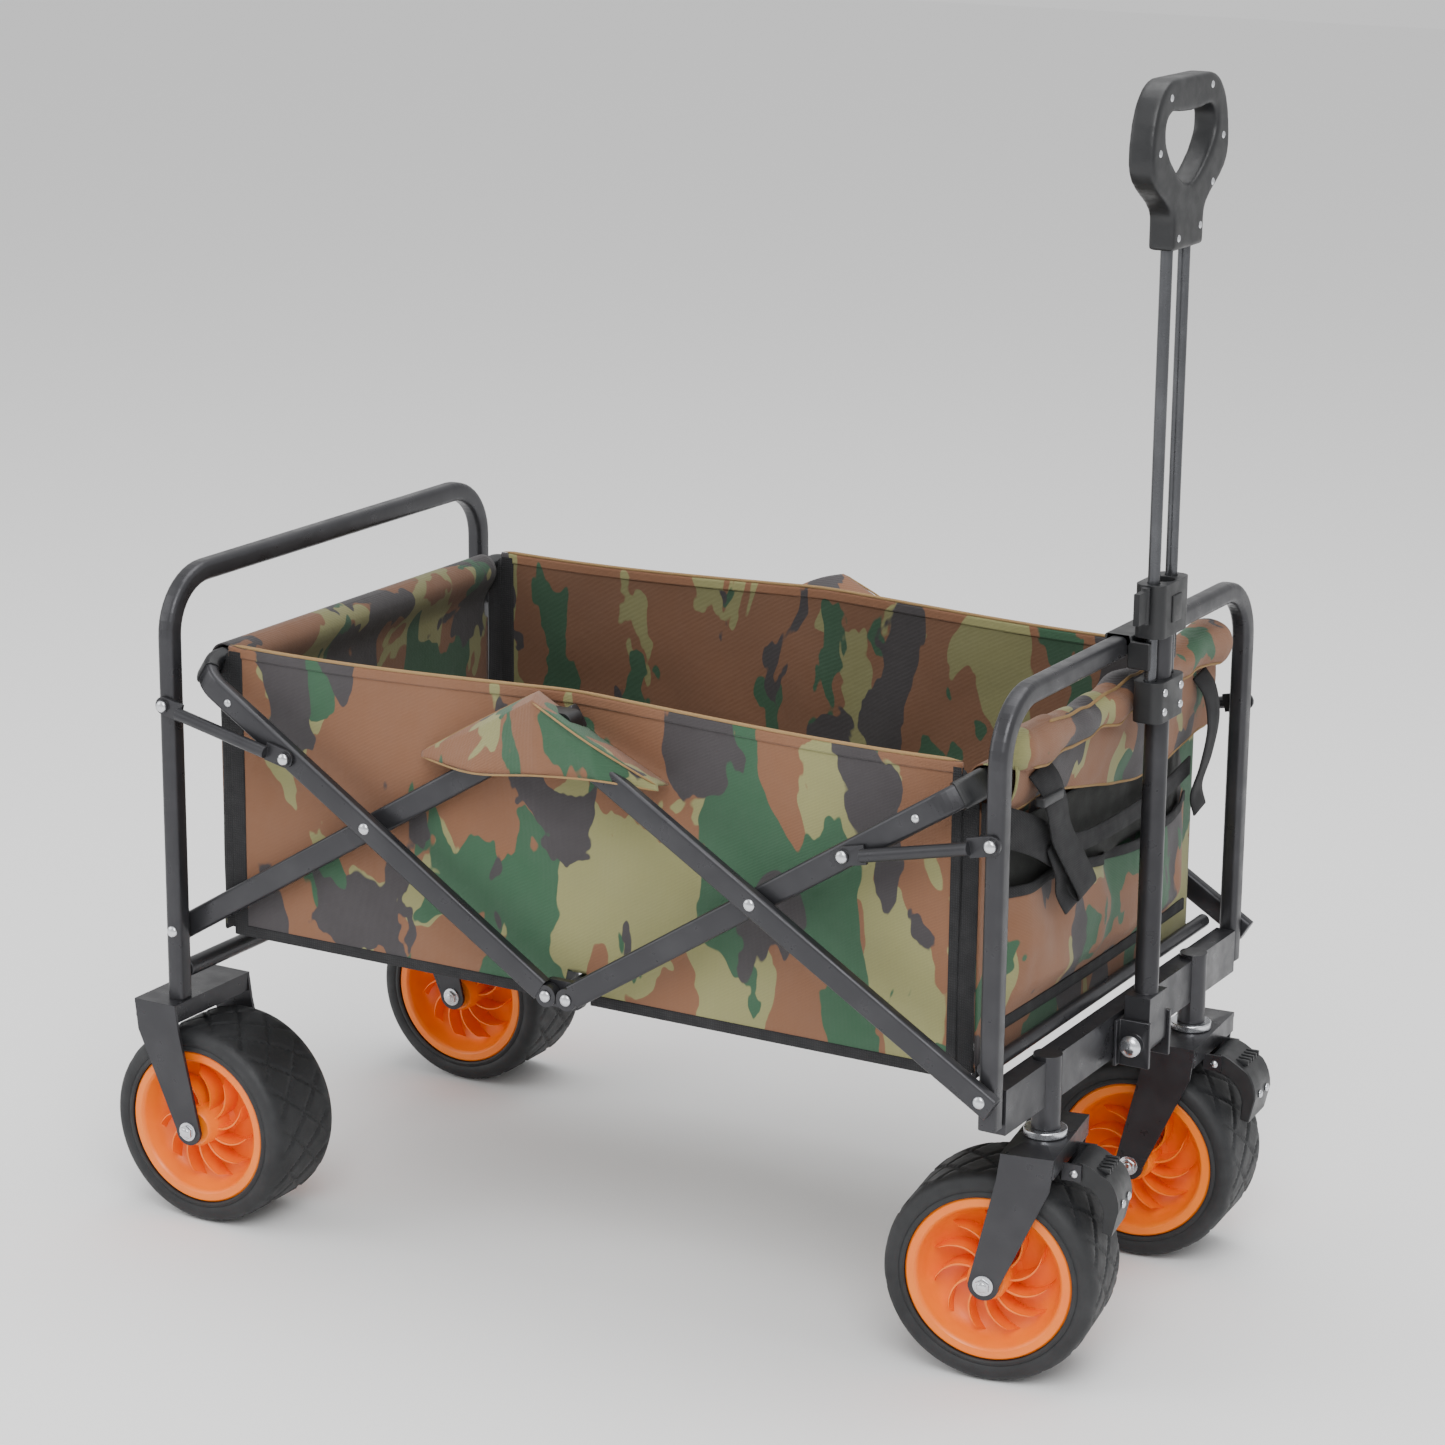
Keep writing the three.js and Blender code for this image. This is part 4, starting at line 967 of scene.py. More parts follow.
# ------------------------------------------------------------------ wheels
@dataclass
class Wheel:
    """A wide rubber tyre on a rim whose blades curve from hub to barrel."""

    radius: float = 90.0
    half_width: float = 44.0
    bore: float = 70.4
    groove: float = 1.5
    groove_half: float = 1.4
    blocks: int = 16
    sides: int = 224
    blades: int = 11
    lip_half: float = 42.0
    web_half: float = 14.0
    hub: float = 17.0
    hub_half: float = 46.0

    def tyre(self) -> bmesh.types.BMesh:
        """Turns the tyre and cuts its crossed tread grooves.

        Returns:
            The mesh, at the origin.
        """
        w, r = self.half_width, self.radius
        shoulder = [
            (self.bore, -w + 4), (self.bore, -w + 1), (self.bore + 1.5, -w + 0.2), (74, -w + 0.6),
            (75, -w + 1.4), (76, -w + 0.6), (80, -w), (84, -w + 0.8), (87, -w + 3), (89, -w + 7),
        ]
        cells = 36
        tread = [(r, mix(-w + 12, w - 12, i / cells)) for i in range(cells + 1)]
        profile = shoulder + tread + [(a, -b) for a, b in reversed(shoulder)]
        bm = turned(profile, self.sides)
        for vertex in bm.verts:
            out = math.hypot(vertex.co.x, vertex.co.z)
            y = vertex.co.y / MM
            if out < (r - 0.6) * MM and abs(y) > w - 6:
                continue
            turn = math.atan2(vertex.co.z, vertex.co.x) / (2 * math.pi) * self.blocks
            pitch = 2 * math.pi * r / self.blocks
            near = min(
                abs((turn + sign * y / pitch * 0.9) % 1 - 0.5) * pitch for sign in (1, -1)
            )
            depth = self.groove * (1 - ease((near - self.groove_half) / 1.6))
            depth *= ease((w - 4 - abs(y)) / 8)
            scale = (out - depth * MM) / out
            vertex.co.x *= scale
            vertex.co.z *= scale
        return bm

    def rim(self) -> bmesh.types.BMesh:
        """Turns the rim and sets its blades on both faces.

        Returns:
            The mesh, at the origin.
        """
        lip = self.lip_half
        face = [
            (5.4, self.hub_half), (self.hub - 2, self.hub_half), (self.hub, self.hub_half - 3),
            (self.hub + 1, self.web_half + 3), (self.hub + 5, self.web_half), (34, self.web_half + 1),
            (44, self.web_half + 3.5), (52, self.web_half + 8), (57, self.web_half + 14),
            (59.5, lip - 4), (61, lip - 1), (62.5, lip), (68.4, lip), (self.bore - 0.4, lip - 1.4),
        ]
        profile = face + [(a, -b) for a, b in reversed(face)]
        parts = [turned(profile, 96)]
        for side in (1, -1):
            parts.append(self.blade_ring(side))
        return join(*parts)

    def blade_ring(self, side: int) -> bmesh.types.BMesh:
        """One face's ring of blades.

        Args:
            side: +1 or -1, the face they stand on.

        Returns:
            The mesh, at the origin.
        """
        def blade(u: float, v: float) -> Vector:
            """A blade's place, u from hub to barrel and v from web to edge.

            Args:
                u: from 0 to 1.
                v: from 0 to 1.

            Returns:
                The place.
            """
            r = mix(self.hub - 1, 53, u)
            sweep = 0.62 * u ** 1.6
            top = mix(self.hub_half - 11, self.lip_half - 8, u)
            y = mix(self.web_half - 2, mix(top, self.web_half + 8, ease((u - 0.84) / 0.16)), v)
            return Vector((r * math.cos(sweep), side * y, r * math.sin(sweep))) * MM

        bm = cloth_grid(14, 3, blade)
        bmesh.ops.solidify(bm, geom=bm.faces[:], thickness=1.9 * MM)
        bmesh.ops.spin(
            bm, geom=bm.verts[:] + bm.edges[:] + bm.faces[:], axis=(0, 1, 0), cent=(0, 0, 0),
            steps=self.blades - 1, angle=2 * math.pi * (self.blades - 1) / self.blades,
            use_merge=False, use_duplicate=True,
        )
        return bm

    def build(self, end: str, name: str, centre: Vector, turn: float) -> None:
        """Sets one wheel with its bolt in its fork.

        Args:
            end: rear or front.
            name: left or right.
            centre: the wheel's middle.
            turn: the caster's turn about the vertical, in degrees.
        """
        place = Matrix.Translation(centre) @ Matrix.Rotation(math.radians(turn), 4, "Z")
        body = f"{end}_wheel_{name}"
        for kind, mesh, finish in (("tyre", self.tyre(), Finish.TYRE), ("rim", self.rim(), Finish.RIM)):
            bmesh.ops.transform(mesh, verts=mesh.verts, matrix=place)
            show(mesh, f"{end}_{kind}_body_{name}", body, finish, [f"{end}_{kind}_{name}"])
        holder = "rear_frame" if end == "rear" else f"caster_{name}"
        bolt = [drum(Vector((0, -0.054, 0)), Vector((0, 1, 0)), 5.0, 108)]
        for side in (1, -1):
            out = Vector((0, side, 0))
            bolt.append(drum(out * 0.0551, out, 8.6, 1.4, 32))
            bolt.append(drum(out * 0.0564, out, 6.6, 3.4, 6))
            bolt.append(domed(out * 0.0597, out, 4.4, 1.6))
        bm = join(*bolt)
        bmesh.ops.transform(bm, verts=bm.verts, matrix=place)
        show(bm, f"{end}_axle_bolt_{name}", holder, Finish.ZINC, [f"{end}_axle_{name}"])


@dataclass
class Casters:
    """The caster forks' bearings and brake pedals."""

    x: float = 798.0
    y: float = 148.0
    trail: float = 33.0
    rib_rows: tuple[float, ...] = (-14.0, -7.0, 0.0, 7.0, 14.0)
    rib_low: tuple[float, float] = (0.047, 0.1835)
    rib_high: tuple[float, float] = (0.0585, 0.1885)
    rib_half: float = 0.0015
    rivet_place: tuple[float, float] = (0.0685, 0.158)
    rivet_rows: tuple[float, float] = (-9.0, 9.0)
    pin_place: tuple[float, float] = (0.031, 0.184)
    pin_half: float = 0.0254
    head: float = 3.6
    turns: dict[str, float] = field(default_factory=lambda: {"left": 4.3, "right": 9.6})

    def build(self) -> None:
        """Makes the bearings, the pedals and the pedals' small bright parts."""
        for name, side in SIDES:
            place = Matrix.Translation(at(self.x, side * self.y, 0))
            place = place @ Matrix.Rotation(math.radians(self.turns[name]), 4, "Z")
            show(copy_of(f"caster_bearing_{name}"), f"caster_race_{name}", "front_frame", Finish.ZINC,
                 [f"caster_bearing_{name}"], bevel=0.8)
            show(copy_of(f"brake_pedal_{name}"), f"brake_moulding_{name}", f"brake_{name}",
                 Finish.PLASTIC, [f"brake_pedal_{name}"], bevel=1.6)
            (x0, z0), (x1, z1) = self.rib_low, self.rib_high
            ribs = [
                slab(Vector((x0, y * MM - self.rib_half, z0)), Vector((x1, y * MM + self.rib_half, z1)), 0.8)
                for y in self.rib_rows
            ]
            x, z = self.rivet_place
            rivets = [domed(Vector((x, y * MM, z)), Vector((1, 0, 0)), self.head, 2) for y in self.rivet_rows]
            for kind, parts, finish in (("ribs", ribs, Finish.PLASTIC), ("rivets", rivets, Finish.ZINC)):
                bm = join(*parts)
                bmesh.ops.transform(bm, verts=bm.verts, matrix=place)
                show(bm, f"brake_{kind}_{name}", f"brake_{name}", finish)
            x, z = self.pin_place
            pins = [
                domed(Vector((x, s * self.pin_half, z)), Vector((0, s, 0)), self.head, 2.4) for s in (1, -1)
            ]
            bm = join(*pins)
            bmesh.ops.transform(bm, verts=bm.verts, matrix=place)
            show(bm, f"brake_pins_{name}", f"caster_{name}", Finish.ZINC)


# ------------------------------------------------------------------ handle
@dataclass
class Handle:
    """The telescopic pull handle with its collar, slider, rods and grip."""

    x: float = 818.0
    pivot_z: float = 246.0
    rod_half: float = 17.5
    rod_size: float = 10.0
    rod_low: float = 528.0
    rod_length: float = 412.0
    window: tuple[float, float, float] = (9.0, 604.0, 626.0)
    bolt_half: float = 29.6
    bolt_radius: float = 9.4
    voxel: float = 1.5
    smoothing: int = 14
    grip_face: float = 10.4
    grip_screws: tuple[tuple[float, float], ...] = (
        (-44, 1026), (36, 1030), (-62, 985), (62, 988), (-20, 915), (22, 921), (44, 953),
    )

    def column(self) -> None:
        """Makes the parts below the grip."""
        show(copy_of("handle_tube"), "handle_column", "handle", Finish.FRAME, ["handle_tube"], bevel=0.8)
        for node, body in (
            ("handle_collar", "handle"), ("handle_lock_lever", "lock_lever"),
            ("handle_slider", "handle_slide"), ("handle_clip", "front_frame"),
        ):
            show(copy_of(node), f"{node}_moulding", body, Finish.PLASTIC, [node], bevel=1.2)
        for name, side in SIDES:
            foot = at(self.x, side * self.rod_half, self.rod_low)
            rod = TubeBender(self.rod_size, self.rod_size, 4.99, foot, Vector((0, 0, 1)), Vector((1, 0, 0)))
            rod.run(self.rod_length)
            show(rod.bm, f"handle_rod_tube_{name}", "handle_slide", Finish.ROD, [f"handle_rod_{name}"])
        half, low, high = self.window
        slot_low, slot_high = at(self.x + 12.6, -half, low), at(self.x + 14.2, half, high)
        show(slab(slot_low, slot_high, 0.7), "collar_window", "handle", Finish.PLASTIC)
        heads = [
            domed(at(self.x + 13, side * 16, z), Vector((1, 0, 0)), 3.4, 1.8)
            for side in (1, -1) for z in (531, 547)
        ]
        show(join(*heads), "slider_screws", "handle_slide", Finish.ZINC)
        bolt = []
        for side in (1, -1):
            foot = at(self.x, side * self.bolt_half, self.pivot_z)
            bolt.append(domed(foot, Vector((0, side, 0)), self.bolt_radius, 5.5))
        show(join(*bolt), "pivot_bolt_heads", "front_frame", Finish.ZINC)

    def grip(self) -> None:
        """Rounds the grip's two halves into one smooth loop and adds its screws."""
        bm = join(copy_of("grip_front"), copy_of("grip_rear"))
        mesh = bpy.data.meshes.new("grip")
        bm.to_mesh(mesh)
        bm.free()
        rough = bpy.data.objects.new("grip", mesh)
        bpy.context.scene.collection.objects.link(rough)
        remesh = rough.modifiers.new("skin", "REMESH")
        remesh.mode = "VOXEL"
        remesh.voxel_size = self.voxel * MM
        graph = bpy.context.evaluated_depsgraph_get()
        bm = bmesh.new()
        bm.from_object(rough, graph)
        bpy.data.objects.remove(rough)
        for _ in range(self.smoothing):
            bmesh.ops.smooth_vert(
                bm, verts=bm.verts, factor=0.5, use_axis_x=True, use_axis_y=True, use_axis_z=True,
            )
        piece = show(bm, "grip_loop", "handle_slide", Finish.PLASTIC, ["grip_front", "grip_rear"])
        piece.data.shade_smooth()
        face = self.x + self.grip_face
        screws = [domed(at(face, y, z), Vector((1, 0, 0)), 3.2, 1.6) for y, z in self.grip_screws]
        show(join(*screws), "grip_screws", "handle_slide", Finish.ZINC)

    def build(self) -> None:
        """Makes the whole handle."""
        self.column()
        self.grip()


# ------------------------------------------------------------------ cloth
@dataclass
class Tub:
    """The camouflage tub: walls, corner gussets, floor, hems and the flaps over the top joints."""

    wall_y: float = 216.0
    side_ends: tuple[float, float] = (44.0, 749.0)
    bottom: float = 270.0
    top_ends: float = 524.0
    apex: float = 531.0
    end_inset: float = 30.0
    bar_height: float = 508.73
    sleeve: float = 14.0
    end_half: float = 211.0
    keep: float = 0.25
    flap_keep: float = 0.6
    notch_half: float = 14.0
    notch_top: float = 292.0
    hem_drop: float = 8.0
    hem_half: float = 1.2
    flap_seam: Line = (
        (246, 218.5, 461), (304, 218.5, 496), (362, 218.5, 529), (420, 218.5, 498), (486, 219, 468),
    )
    flap_ridge: Line = ((246, 220, 461), (318, 245, 497), (386, 268, 535), (440, 267.5, 508), (488, 240, 473))
    flap_hem: Line = ((246, 221, 457), (322, 258, 463), (392, 269, 474), (450, 268, 478), (490, 242, 469))

    def fold(self, piece: bpy.types.Object) -> None:
        """Gives a piece its own copy of its mesh."""
        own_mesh(piece)

    def top_line(self, x: float) -> float:
        """The height of a side wall's top hem."""
        share = abs(x - MIDDLE) / (MIDDLE - self.side_ends[0])
        return mix(self.apex, self.top_ends, ease(share)) - 3.0 * math.sin(math.pi * min(share, 1))

    def side_point(self, side: int, u: float, v: float) -> Vector:
        """A place on a side wall, slack between its hems and pulled at the arms' tips.

        Args:
            side: +1 on the left, -1 on the right.
            u: from the rear to the front, 0 to 1.
            v: from the bottom to the top, 0 to 1.

        Returns:
            The place.
        """
        x = mix(*self.side_ends, u)
        z = mix(self.bottom, self.top_line(x), v)
        slack = math.sin(math.pi * v) * ease(v * 4) * ease(u * 12) * ease((1 - u) * 12)
        spot = at(x, 0, z)
        sway = -3.6 * slack * (0.6 + 0.4 * math.sin(6.3 * u * 2.2 + side))
        sway += slack * wrinkle(spot, 70, 5.0 + side, 3.4)
        pull = math.atan2(z - 300, x - MIDDLE)
        sway += slack * 1.5 * math.sin(9 * pull + 2 * side) * ease((v - 0.1) * 2)
        notch = abs(x - MIDDLE) < self.notch_half and z < self.notch_top
        return at(x, side * (self.wall_y + min(sway, 1.2)), self.notch_top if notch else z)

    def side_wall(self, name: str, side: int) -> None:
        """Hangs one side wall with its hems and corner tapes.

        Args:
            name: left or right.
            side: +1 on the left, -1 on the right.
        """
        bm = cloth_grid(150, 56, lambda u, v: self.side_point(side, u, v))
        wall = show(bm, f"side_cloth_{name}", "top_joints", Finish.CLOTH, [f"side_wall_{name}"], wall=1.3,
                    outward=Vector((0, side, 0)))
        self.fold(wall)
        x0, x1 = self.side_ends
        trims = []
        for low, high in ((x0, MIDDLE - self.notch_half), (MIDDLE + self.notch_half, x1)):
            bottom = TubeBender(10, 3.6, 1.6, at(low, side * self.wall_y, self.bottom - 1),
                                Vector((1, 0, 0)), Vector((0, 0, 1)))
            for _ in range(8):
                bottom.run((high - low) / 8)
            trims.append(bottom.bm)
        for x, wide in ((x0 + 6.5, 14), (x1 - 4, 9)):
            tape = TubeBender(wide, 3.4, 1.5, at(x, side * self.wall_y, self.bottom), Vector((0, 0, 1)),
                              Vector((1, 0, 0)))
            for _ in range(6):
                tape.run((self.top_ends - self.bottom - 3) / 6)
            trims.append(tape.bm)
        trim = show(join(*trims), f"side_tapes_{name}", "top_joints", Finish.TAPE)
        self.fold(trim)
        hem = cloth_grid(120, 12, lambda u, v: self.hem_point(side, u, v))
        edge = show(hem, f"side_hem_{name}", "top_joints", Finish.CLOTH, wall=0.6)
        self.fold(edge)
        line = [mix(x0 + 1, x1 - 1, i / 12) for i in range(13)]
        rope = cord([at(x, side * self.wall_y, self.top_line(x) + 2.2) for x in line], 1.5, 160)
        piping = show(rope, f"side_piping_{name}", "top_joints", Finish.PIPING)
        self.fold(piping)

    def hem_point(self, side: int, u: float, v: float) -> Vector:
        """A place on the hem folded over a side wall's top edge.

        Args:
            side: +1 on the left, -1 on the right.
            u: along the hem, 0 to 1.
            v: from inside, over the edge, to outside, 0 to 1.

        Returns:
            The place.
        """
        x = mix(*self.side_ends, u)
        half = self.hem_half
        if v < 0.4:
            y, z = -half, -self.hem_drop * (0.4 - v) / 0.4
        elif v > 0.6:
            y, z = half, -self.hem_drop * (v - 0.6) / 0.4
        else:
            turn = (v - 0.4) / 0.2 * math.pi
            y, z = -half * math.cos(turn), half * math.sin(turn)
        return at(x, side * (self.wall_y + y), self.top_line(x) + z)

    def end_wall(self, end: str, way: int) -> None:
        """Hangs an end wall from its sleeve round the U tube.

        Args:
            end: rear or front.
            way: +1 where the tub lies towards +X of the wall, -1 where it lies towards -X.
        """
        x = self.end_inset if way > 0 else FRONT_LEG - self.end_inset
        r = self.sleeve
        straight = self.bar_height - self.bottom

        def place(u: float, v: float) -> Vector:
            """Up the wall, over the bar and back down to the stitched edge.

            Args:
                u: across, 0 to 1.
                v: up and over, 0 to 1.

            Returns:
                The place.
            """
            y = mix(-self.end_half, self.end_half, u)
            if v < 0.6:
                t = v / 0.6
                z = self.bottom + straight * t
                lean = r * ease((t - 0.86) / 0.14)
                slack = math.sin(math.pi * t) * math.sin(math.pi * u)
                dx = way * (lean - 2.5 * slack) + slack * wrinkle(at(0, y, z), 60, 9.0 * way, 3)
            elif v < 0.86:
                turn = (v - 0.6) / 0.26 * math.pi
                dx, z = way * r * math.cos(turn), self.bar_height + r * math.sin(turn)
            else:
                t = (v - 0.86) / 0.14
                dx, z = -way * mix(r, 3.2, ease(t)), self.bar_height - 40 * t
            if z > self.bar_height - 46:
                y *= 205 / self.end_half
            return at(x + dx, y, z)

        bm = cloth_grid(96, 90, place)
        wall = show(bm, f"{end}_wall_cloth", f"{end}_wall", Finish.CLOTH, [f"{end}_wall"], wall=1.3,
                    outward=Vector((-way, 0, 0)))
        corner = at(x, -self.end_half, self.bottom)
        tape = TubeBender(10, 3.6, 1.6, corner, Vector((0, 1, 0)), Vector((0, 0, 1)))
        tape.run(2 * self.end_half)
        show(tape.bm, f"{end}_wall_tape", f"{end}_wall", Finish.TAPE)
        for name, side in SIDES:
            self.gusset(end, name, side, x, way)

    def gusset(self, end: str, name: str, side: int, x: float, way: int) -> None:
        """Closes a corner between a side wall and an end wall.

        Args:
            end: rear or front.
            name: left or right.
            side: +1 on the left, -1 on the right.
            x: the end wall's plane, in millimetres.
            way: +1 where the tub lies towards +X of the wall, -1 where it lies towards -X.
        """
        def place(u: float, v: float) -> Vector:
            """Round the corner and up it.

            Args:
                u: round the corner, 0 to 1.
                v: up it, 0 to 1.

            Returns:
                The place.
            """
            turn = u * math.pi / 2
            reach, depth = 13.5, 4.6
            px = x + way * (1 + reach * (1 - math.cos(turn)))
            py = mix(self.end_half + 0.5, self.end_half + depth, math.sin(turn))
            z = mix(self.bottom, mix(492, self.top_ends - 4, ease(u)), v)
            return at(px, side * (py + 0.8 * math.sin(9 * v + side)), z)

        bm = cloth_grid(8, 30, place)
        corner = show(bm, f"{end}_gusset_{name}", f"{end}_wall", Finish.TAPE, wall=1.2)

    def flap(self, name: str, side: int) -> None:
        """Stitches a tented flap over a top joint.

        Args:
            name: left or right.
            side: +1 on the left, -1 on the right.
        """
        seam, ridge, hem = (
            [at(*place) for place in line] for line in (self.flap_seam, self.flap_ridge, self.flap_hem)
        )

        def place(u: float, v: float) -> Vector:
            """From the seam on the wall over the ridge and down to the free hem.

            Args:
                u: along the flap, 0 to 1.
                v: from seam to hem, 0 to 1.

            Returns:
                The place.
            """
            if v < 0.4:
                spot = straight(seam, u).lerp(straight(ridge, u), v / 0.4)
                spot.z += 2.4 * MM * math.sin(math.pi * v / 0.4) * math.sin(math.pi * u)
            else:
                t = (v - 0.4) / 0.6
                spot = straight(ridge, u).lerp(straight(hem, u), t)
                crease = math.exp(-((u - 0.6 - 0.2 * t) / 0.05) ** 2)
                spot.y += (1.2 * math.sin(math.pi * t) + 2.4 * crease * t) * MM * math.sin(math.pi * u)
            spot.y += wrinkle(spot, 45, 3.0 + side, 0.8) * MM * math.sin(math.pi * u) * v
            return Vector((spot.x, side * spot.y, spot.z))

        bm = cloth_grid(80, 40, place)
        flap = show(bm, f"flap_cloth_{name}", "top_joints", Finish.CLOTH, [f"side_flap_{name}"], wall=1.2)
        self.fold(flap)
        ropes = []
        for line, share in ((seam[:3], 0.0), (ridge[2:], 0.4), (seam[2:], 0.0), (hem, 1.0)):
            path = [Vector((p.x, side * (p.y + 1.2 * MM), p.z)) for p in line]
            ropes.append(cord(path, 0.9 if share else 1.1, 60))
        piping = show(join(*ropes), f"flap_piping_{name}", "top_joints", Finish.PIPING)
        self.fold(piping)

    def floor(self) -> None:
        """Covers the floor panels in cloth."""
        for node, body in (
            ("floor_panel_rear", "floor_rear"), ("floor_panel_front", "floor_front"),
            ("floor_panel_centre", "centre"),
        ):
            show(copy_of(node), f"{node}_cover", body, Finish.CLOTH, [node], bevel=1.2)

    def build(self) -> None:
        """Makes the whole tub."""
        self.end_wall("rear", 1)
        self.end_wall("front", -1)
        for name, side in SIDES:
            self.side_wall(name, side)
            self.flap(name, side)
            show(copy_of(f"top_joint_{name}"), f"top_joint_block_{name}", "top_joints", Finish.PLASTIC,
                 [f"top_joint_{name}"], bevel=1.5)
        self.floor()


@dataclass
class FrontGear:
    """What hangs at the front of the tub: the padded roll, the apron, the pockets and the straps."""

    roll_x: float = 784.0
    roll_z: float = 535.0
    roll_radius: float = 16.5
    roll_half: float = 205.0
    soft_keep: float = 0.45
    apron_keep: float = 0.7
    thin_keep: float = 0.05
    wall_x: float = 766.0
    buckle: Line = ((793, -178, 486), (802, -142, 494))
    tapes: tuple[tuple[str, tuple[float, float, float], float, Line], ...] = (
        ("near", SLANT, 33, (
            (788, -162, 514), (797, -158, 500), (800, -150, 480), (799, -138, 456), (802, -116, 426),
            (804, -98, 403), (800, -90, 395), (794, -96, 404), (791, -112, 428), (789, -124, 446),
        )),
        ("near_tail", SLANT, 26, (
            (792, -136, 446), (796, -128, 424), (793, -118, 404), (797, -108, 386),
        )),
        ("side", UPRIGHT, 34, (
            (764, -212, 477), (778, -203, 474), (787, -186, 467), (790, -164, 457), (789, -142, 446),
            (786, -128, 440),
        )),
        ("far", SLANT, 24, (
            (788, 158, 520), (798, 160, 504), (803, 158, 478), (800, 152, 446), (794, 148, 420),
            (797, 150, 402),
        )),
        ("middle", UPRIGHT, 16, (
            (786, -120, 440), (789, -80, 432), (788, -30, 428), (786, 30, 427), (788, 90, 432),
            (786, 150, 440),
        )),
    )

    def crumple(self, piece: bpy.types.Object) -> None:
        """Gives a piece its own copy of its mesh."""
        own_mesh(piece)

    def roll_point(self, u: float, v: float, proud: float = 0.0) -> Vector:
        """A place on the roll, u along it and v round it.

        Args:
            u: from 0 to 1.
            v: from 0 to 1.
            proud: how far off the cloth, in millimetres.

        Returns:
            The place.
        """
        y = mix(-self.roll_half, self.roll_half, u)
        angle = 2 * math.pi * v
        end = min(min(u, 1 - u) * 2 * self.roll_half / 19, 1.0)
        r = self.roll_radius * math.sqrt(max(1 - (1 - end) ** 2, 0.0))
        swell = 1 + 0.1 * math.sin(y / 29 + 1.3) + 0.12 * ease((y - 120) / 60)
        gather = 1.3 * math.sin(y / 9.5 + 2.2 * math.sin(angle + y / 60)) * end
        spot = at(r * math.cos(angle) * 1.4, y, r * math.sin(angle) * 1.4)
        r = r * swell + (gather + wrinkle(spot, 26, 12.0, 3.2)) * end * 0.8 + proud
        rise = 3.0 * math.sin(y / 62) + 6 * ease((y - 90) / 90)
        return at(self.roll_x + r * math.cos(angle), y, self.roll_z + rise + r * math.sin(angle))

    def roll(self) -> None:
        """Makes the padded roll of cloth over the front wall's bar."""
        bm = cloth_grid(150, 60, self.roll_point)
        roll = show(bm, "front_roll_cloth", "front_wall", Finish.CLOTH, ["front_roll"])
        self.crumple(roll)
        piping_and_highlight_cords = []
        # The upper cord, light khaki along part of the roll's top front, is a painted highlight; the lower
        # cord is piping.
        for v, start, stop in ((0.17, 0.12, 0.62), (0.86, 0.04, 0.95)):
            path = [self.roll_point(mix(start, stop, i / 30), v, 0.4) for i in range(31)]
            piping_and_highlight_cords.append(cord(path, 1.4, 150))
        piping = show(join(*piping_and_highlight_cords), "front_roll_piping_and_painted_highlight", "front_wall", Finish.PIPING)
        self.crumple(piping)

    def apron(self) -> None:
        """Hangs the short apron under the roll, over the net pocket."""
        def edge(y: float) -> float:
            """The height of the apron's lower edge."""
            return mix(484, 452, ease((y + 150) / 220)) + 12 * ease((y - 90) / 100)

        def place(u: float, v: float) -> Vector:
            """Across the apron and down it.

            Args:
                u: across, 0 to 1.
                v: down, 0 to 1.

            Returns:
                The place.
            """
            y = mix(-200, 200, u)
            z = mix(524, edge(y), v)
            belly = math.sin(math.pi * min(v * 1.1, 1)) * (0.6 + 0.4 * math.sin(y / 37))
            x = mix(786, 780, v) + 4 * belly + wrinkle(at(0, y, z), 34, 31.0, 3.0)
            return at(x, y, z)

        bm = cloth_grid(110, 26, place)
        apron = show(bm, "front_apron_cloth", "front_wall", Finish.CLOTH, wall=1.2)
        self.crumple(apron)
        rope = cord([place(i / 30, 1.0) for i in range(31)], 1.3, 150)
        piping = show(rope, "front_apron_piping", "front_wall", Finish.PIPING)
        self.crumple(piping)

    def pockets(self) -> None:
        """Sews the net pocket and the bulging cloth pocket on the front wall."""
        def net(u: float, v: float) -> Vector:
            """Across the net pocket and up to its mouth.

            Args:
                u: across, 0 to 1.
                v: up, 0 to 1.

            Returns:
                The place.
            """
            y, z = mix(-170, 170, u), mix(398, 470, v)
            puff = ease(u * 9) * ease((1 - u) * 9)
            return at(767 + puff * (7 + 2 * v) + wrinkle(at(0, y, z), 30, 44.0, 2.2) * puff, y, z)

        bm = cloth_grid(90, 24, net)
        pocket = show(bm, "front_net_pocket", "front_wall", Finish.NET, wall=1.0)
        self.crumple(pocket)

        def mouth(y: float) -> float:
            """The height of the cloth pocket's mouth."""
            return mix(412, 394, ease((y + 120) / 160)) + 8 * ease((y - 60) / 110)

        def bulge(u: float, v: float) -> Vector:
            """Across the cloth pocket and up to its mouth.

            Args:
                u: across, 0 to 1.
                v: up, 0 to 1.

            Returns:
                The place.
            """
            y = mix(-186, 186, u)
            z = mix(300, mouth(y), v)
            puff = ease(u * 10) * ease((1 - u) * 10) * ease(v * 3.6) * mix(1, 0.8, ease((v - 0.6) / 0.4))
            split = 1 - 0.4 * math.exp(-((y - 6) / 14) ** 2)
            fall = 2.2 * math.sin(y / 11 + 3 * v) * ease(v * 2 - 0.7) + 1.6 * math.sin(y / 17 + z / 24)
            x = 766.5 + 15 * puff * split + (fall + wrinkle(at(0, y, z), 36, 21.0, 4.0)) * puff
            return at(min(x, 786), y, z)

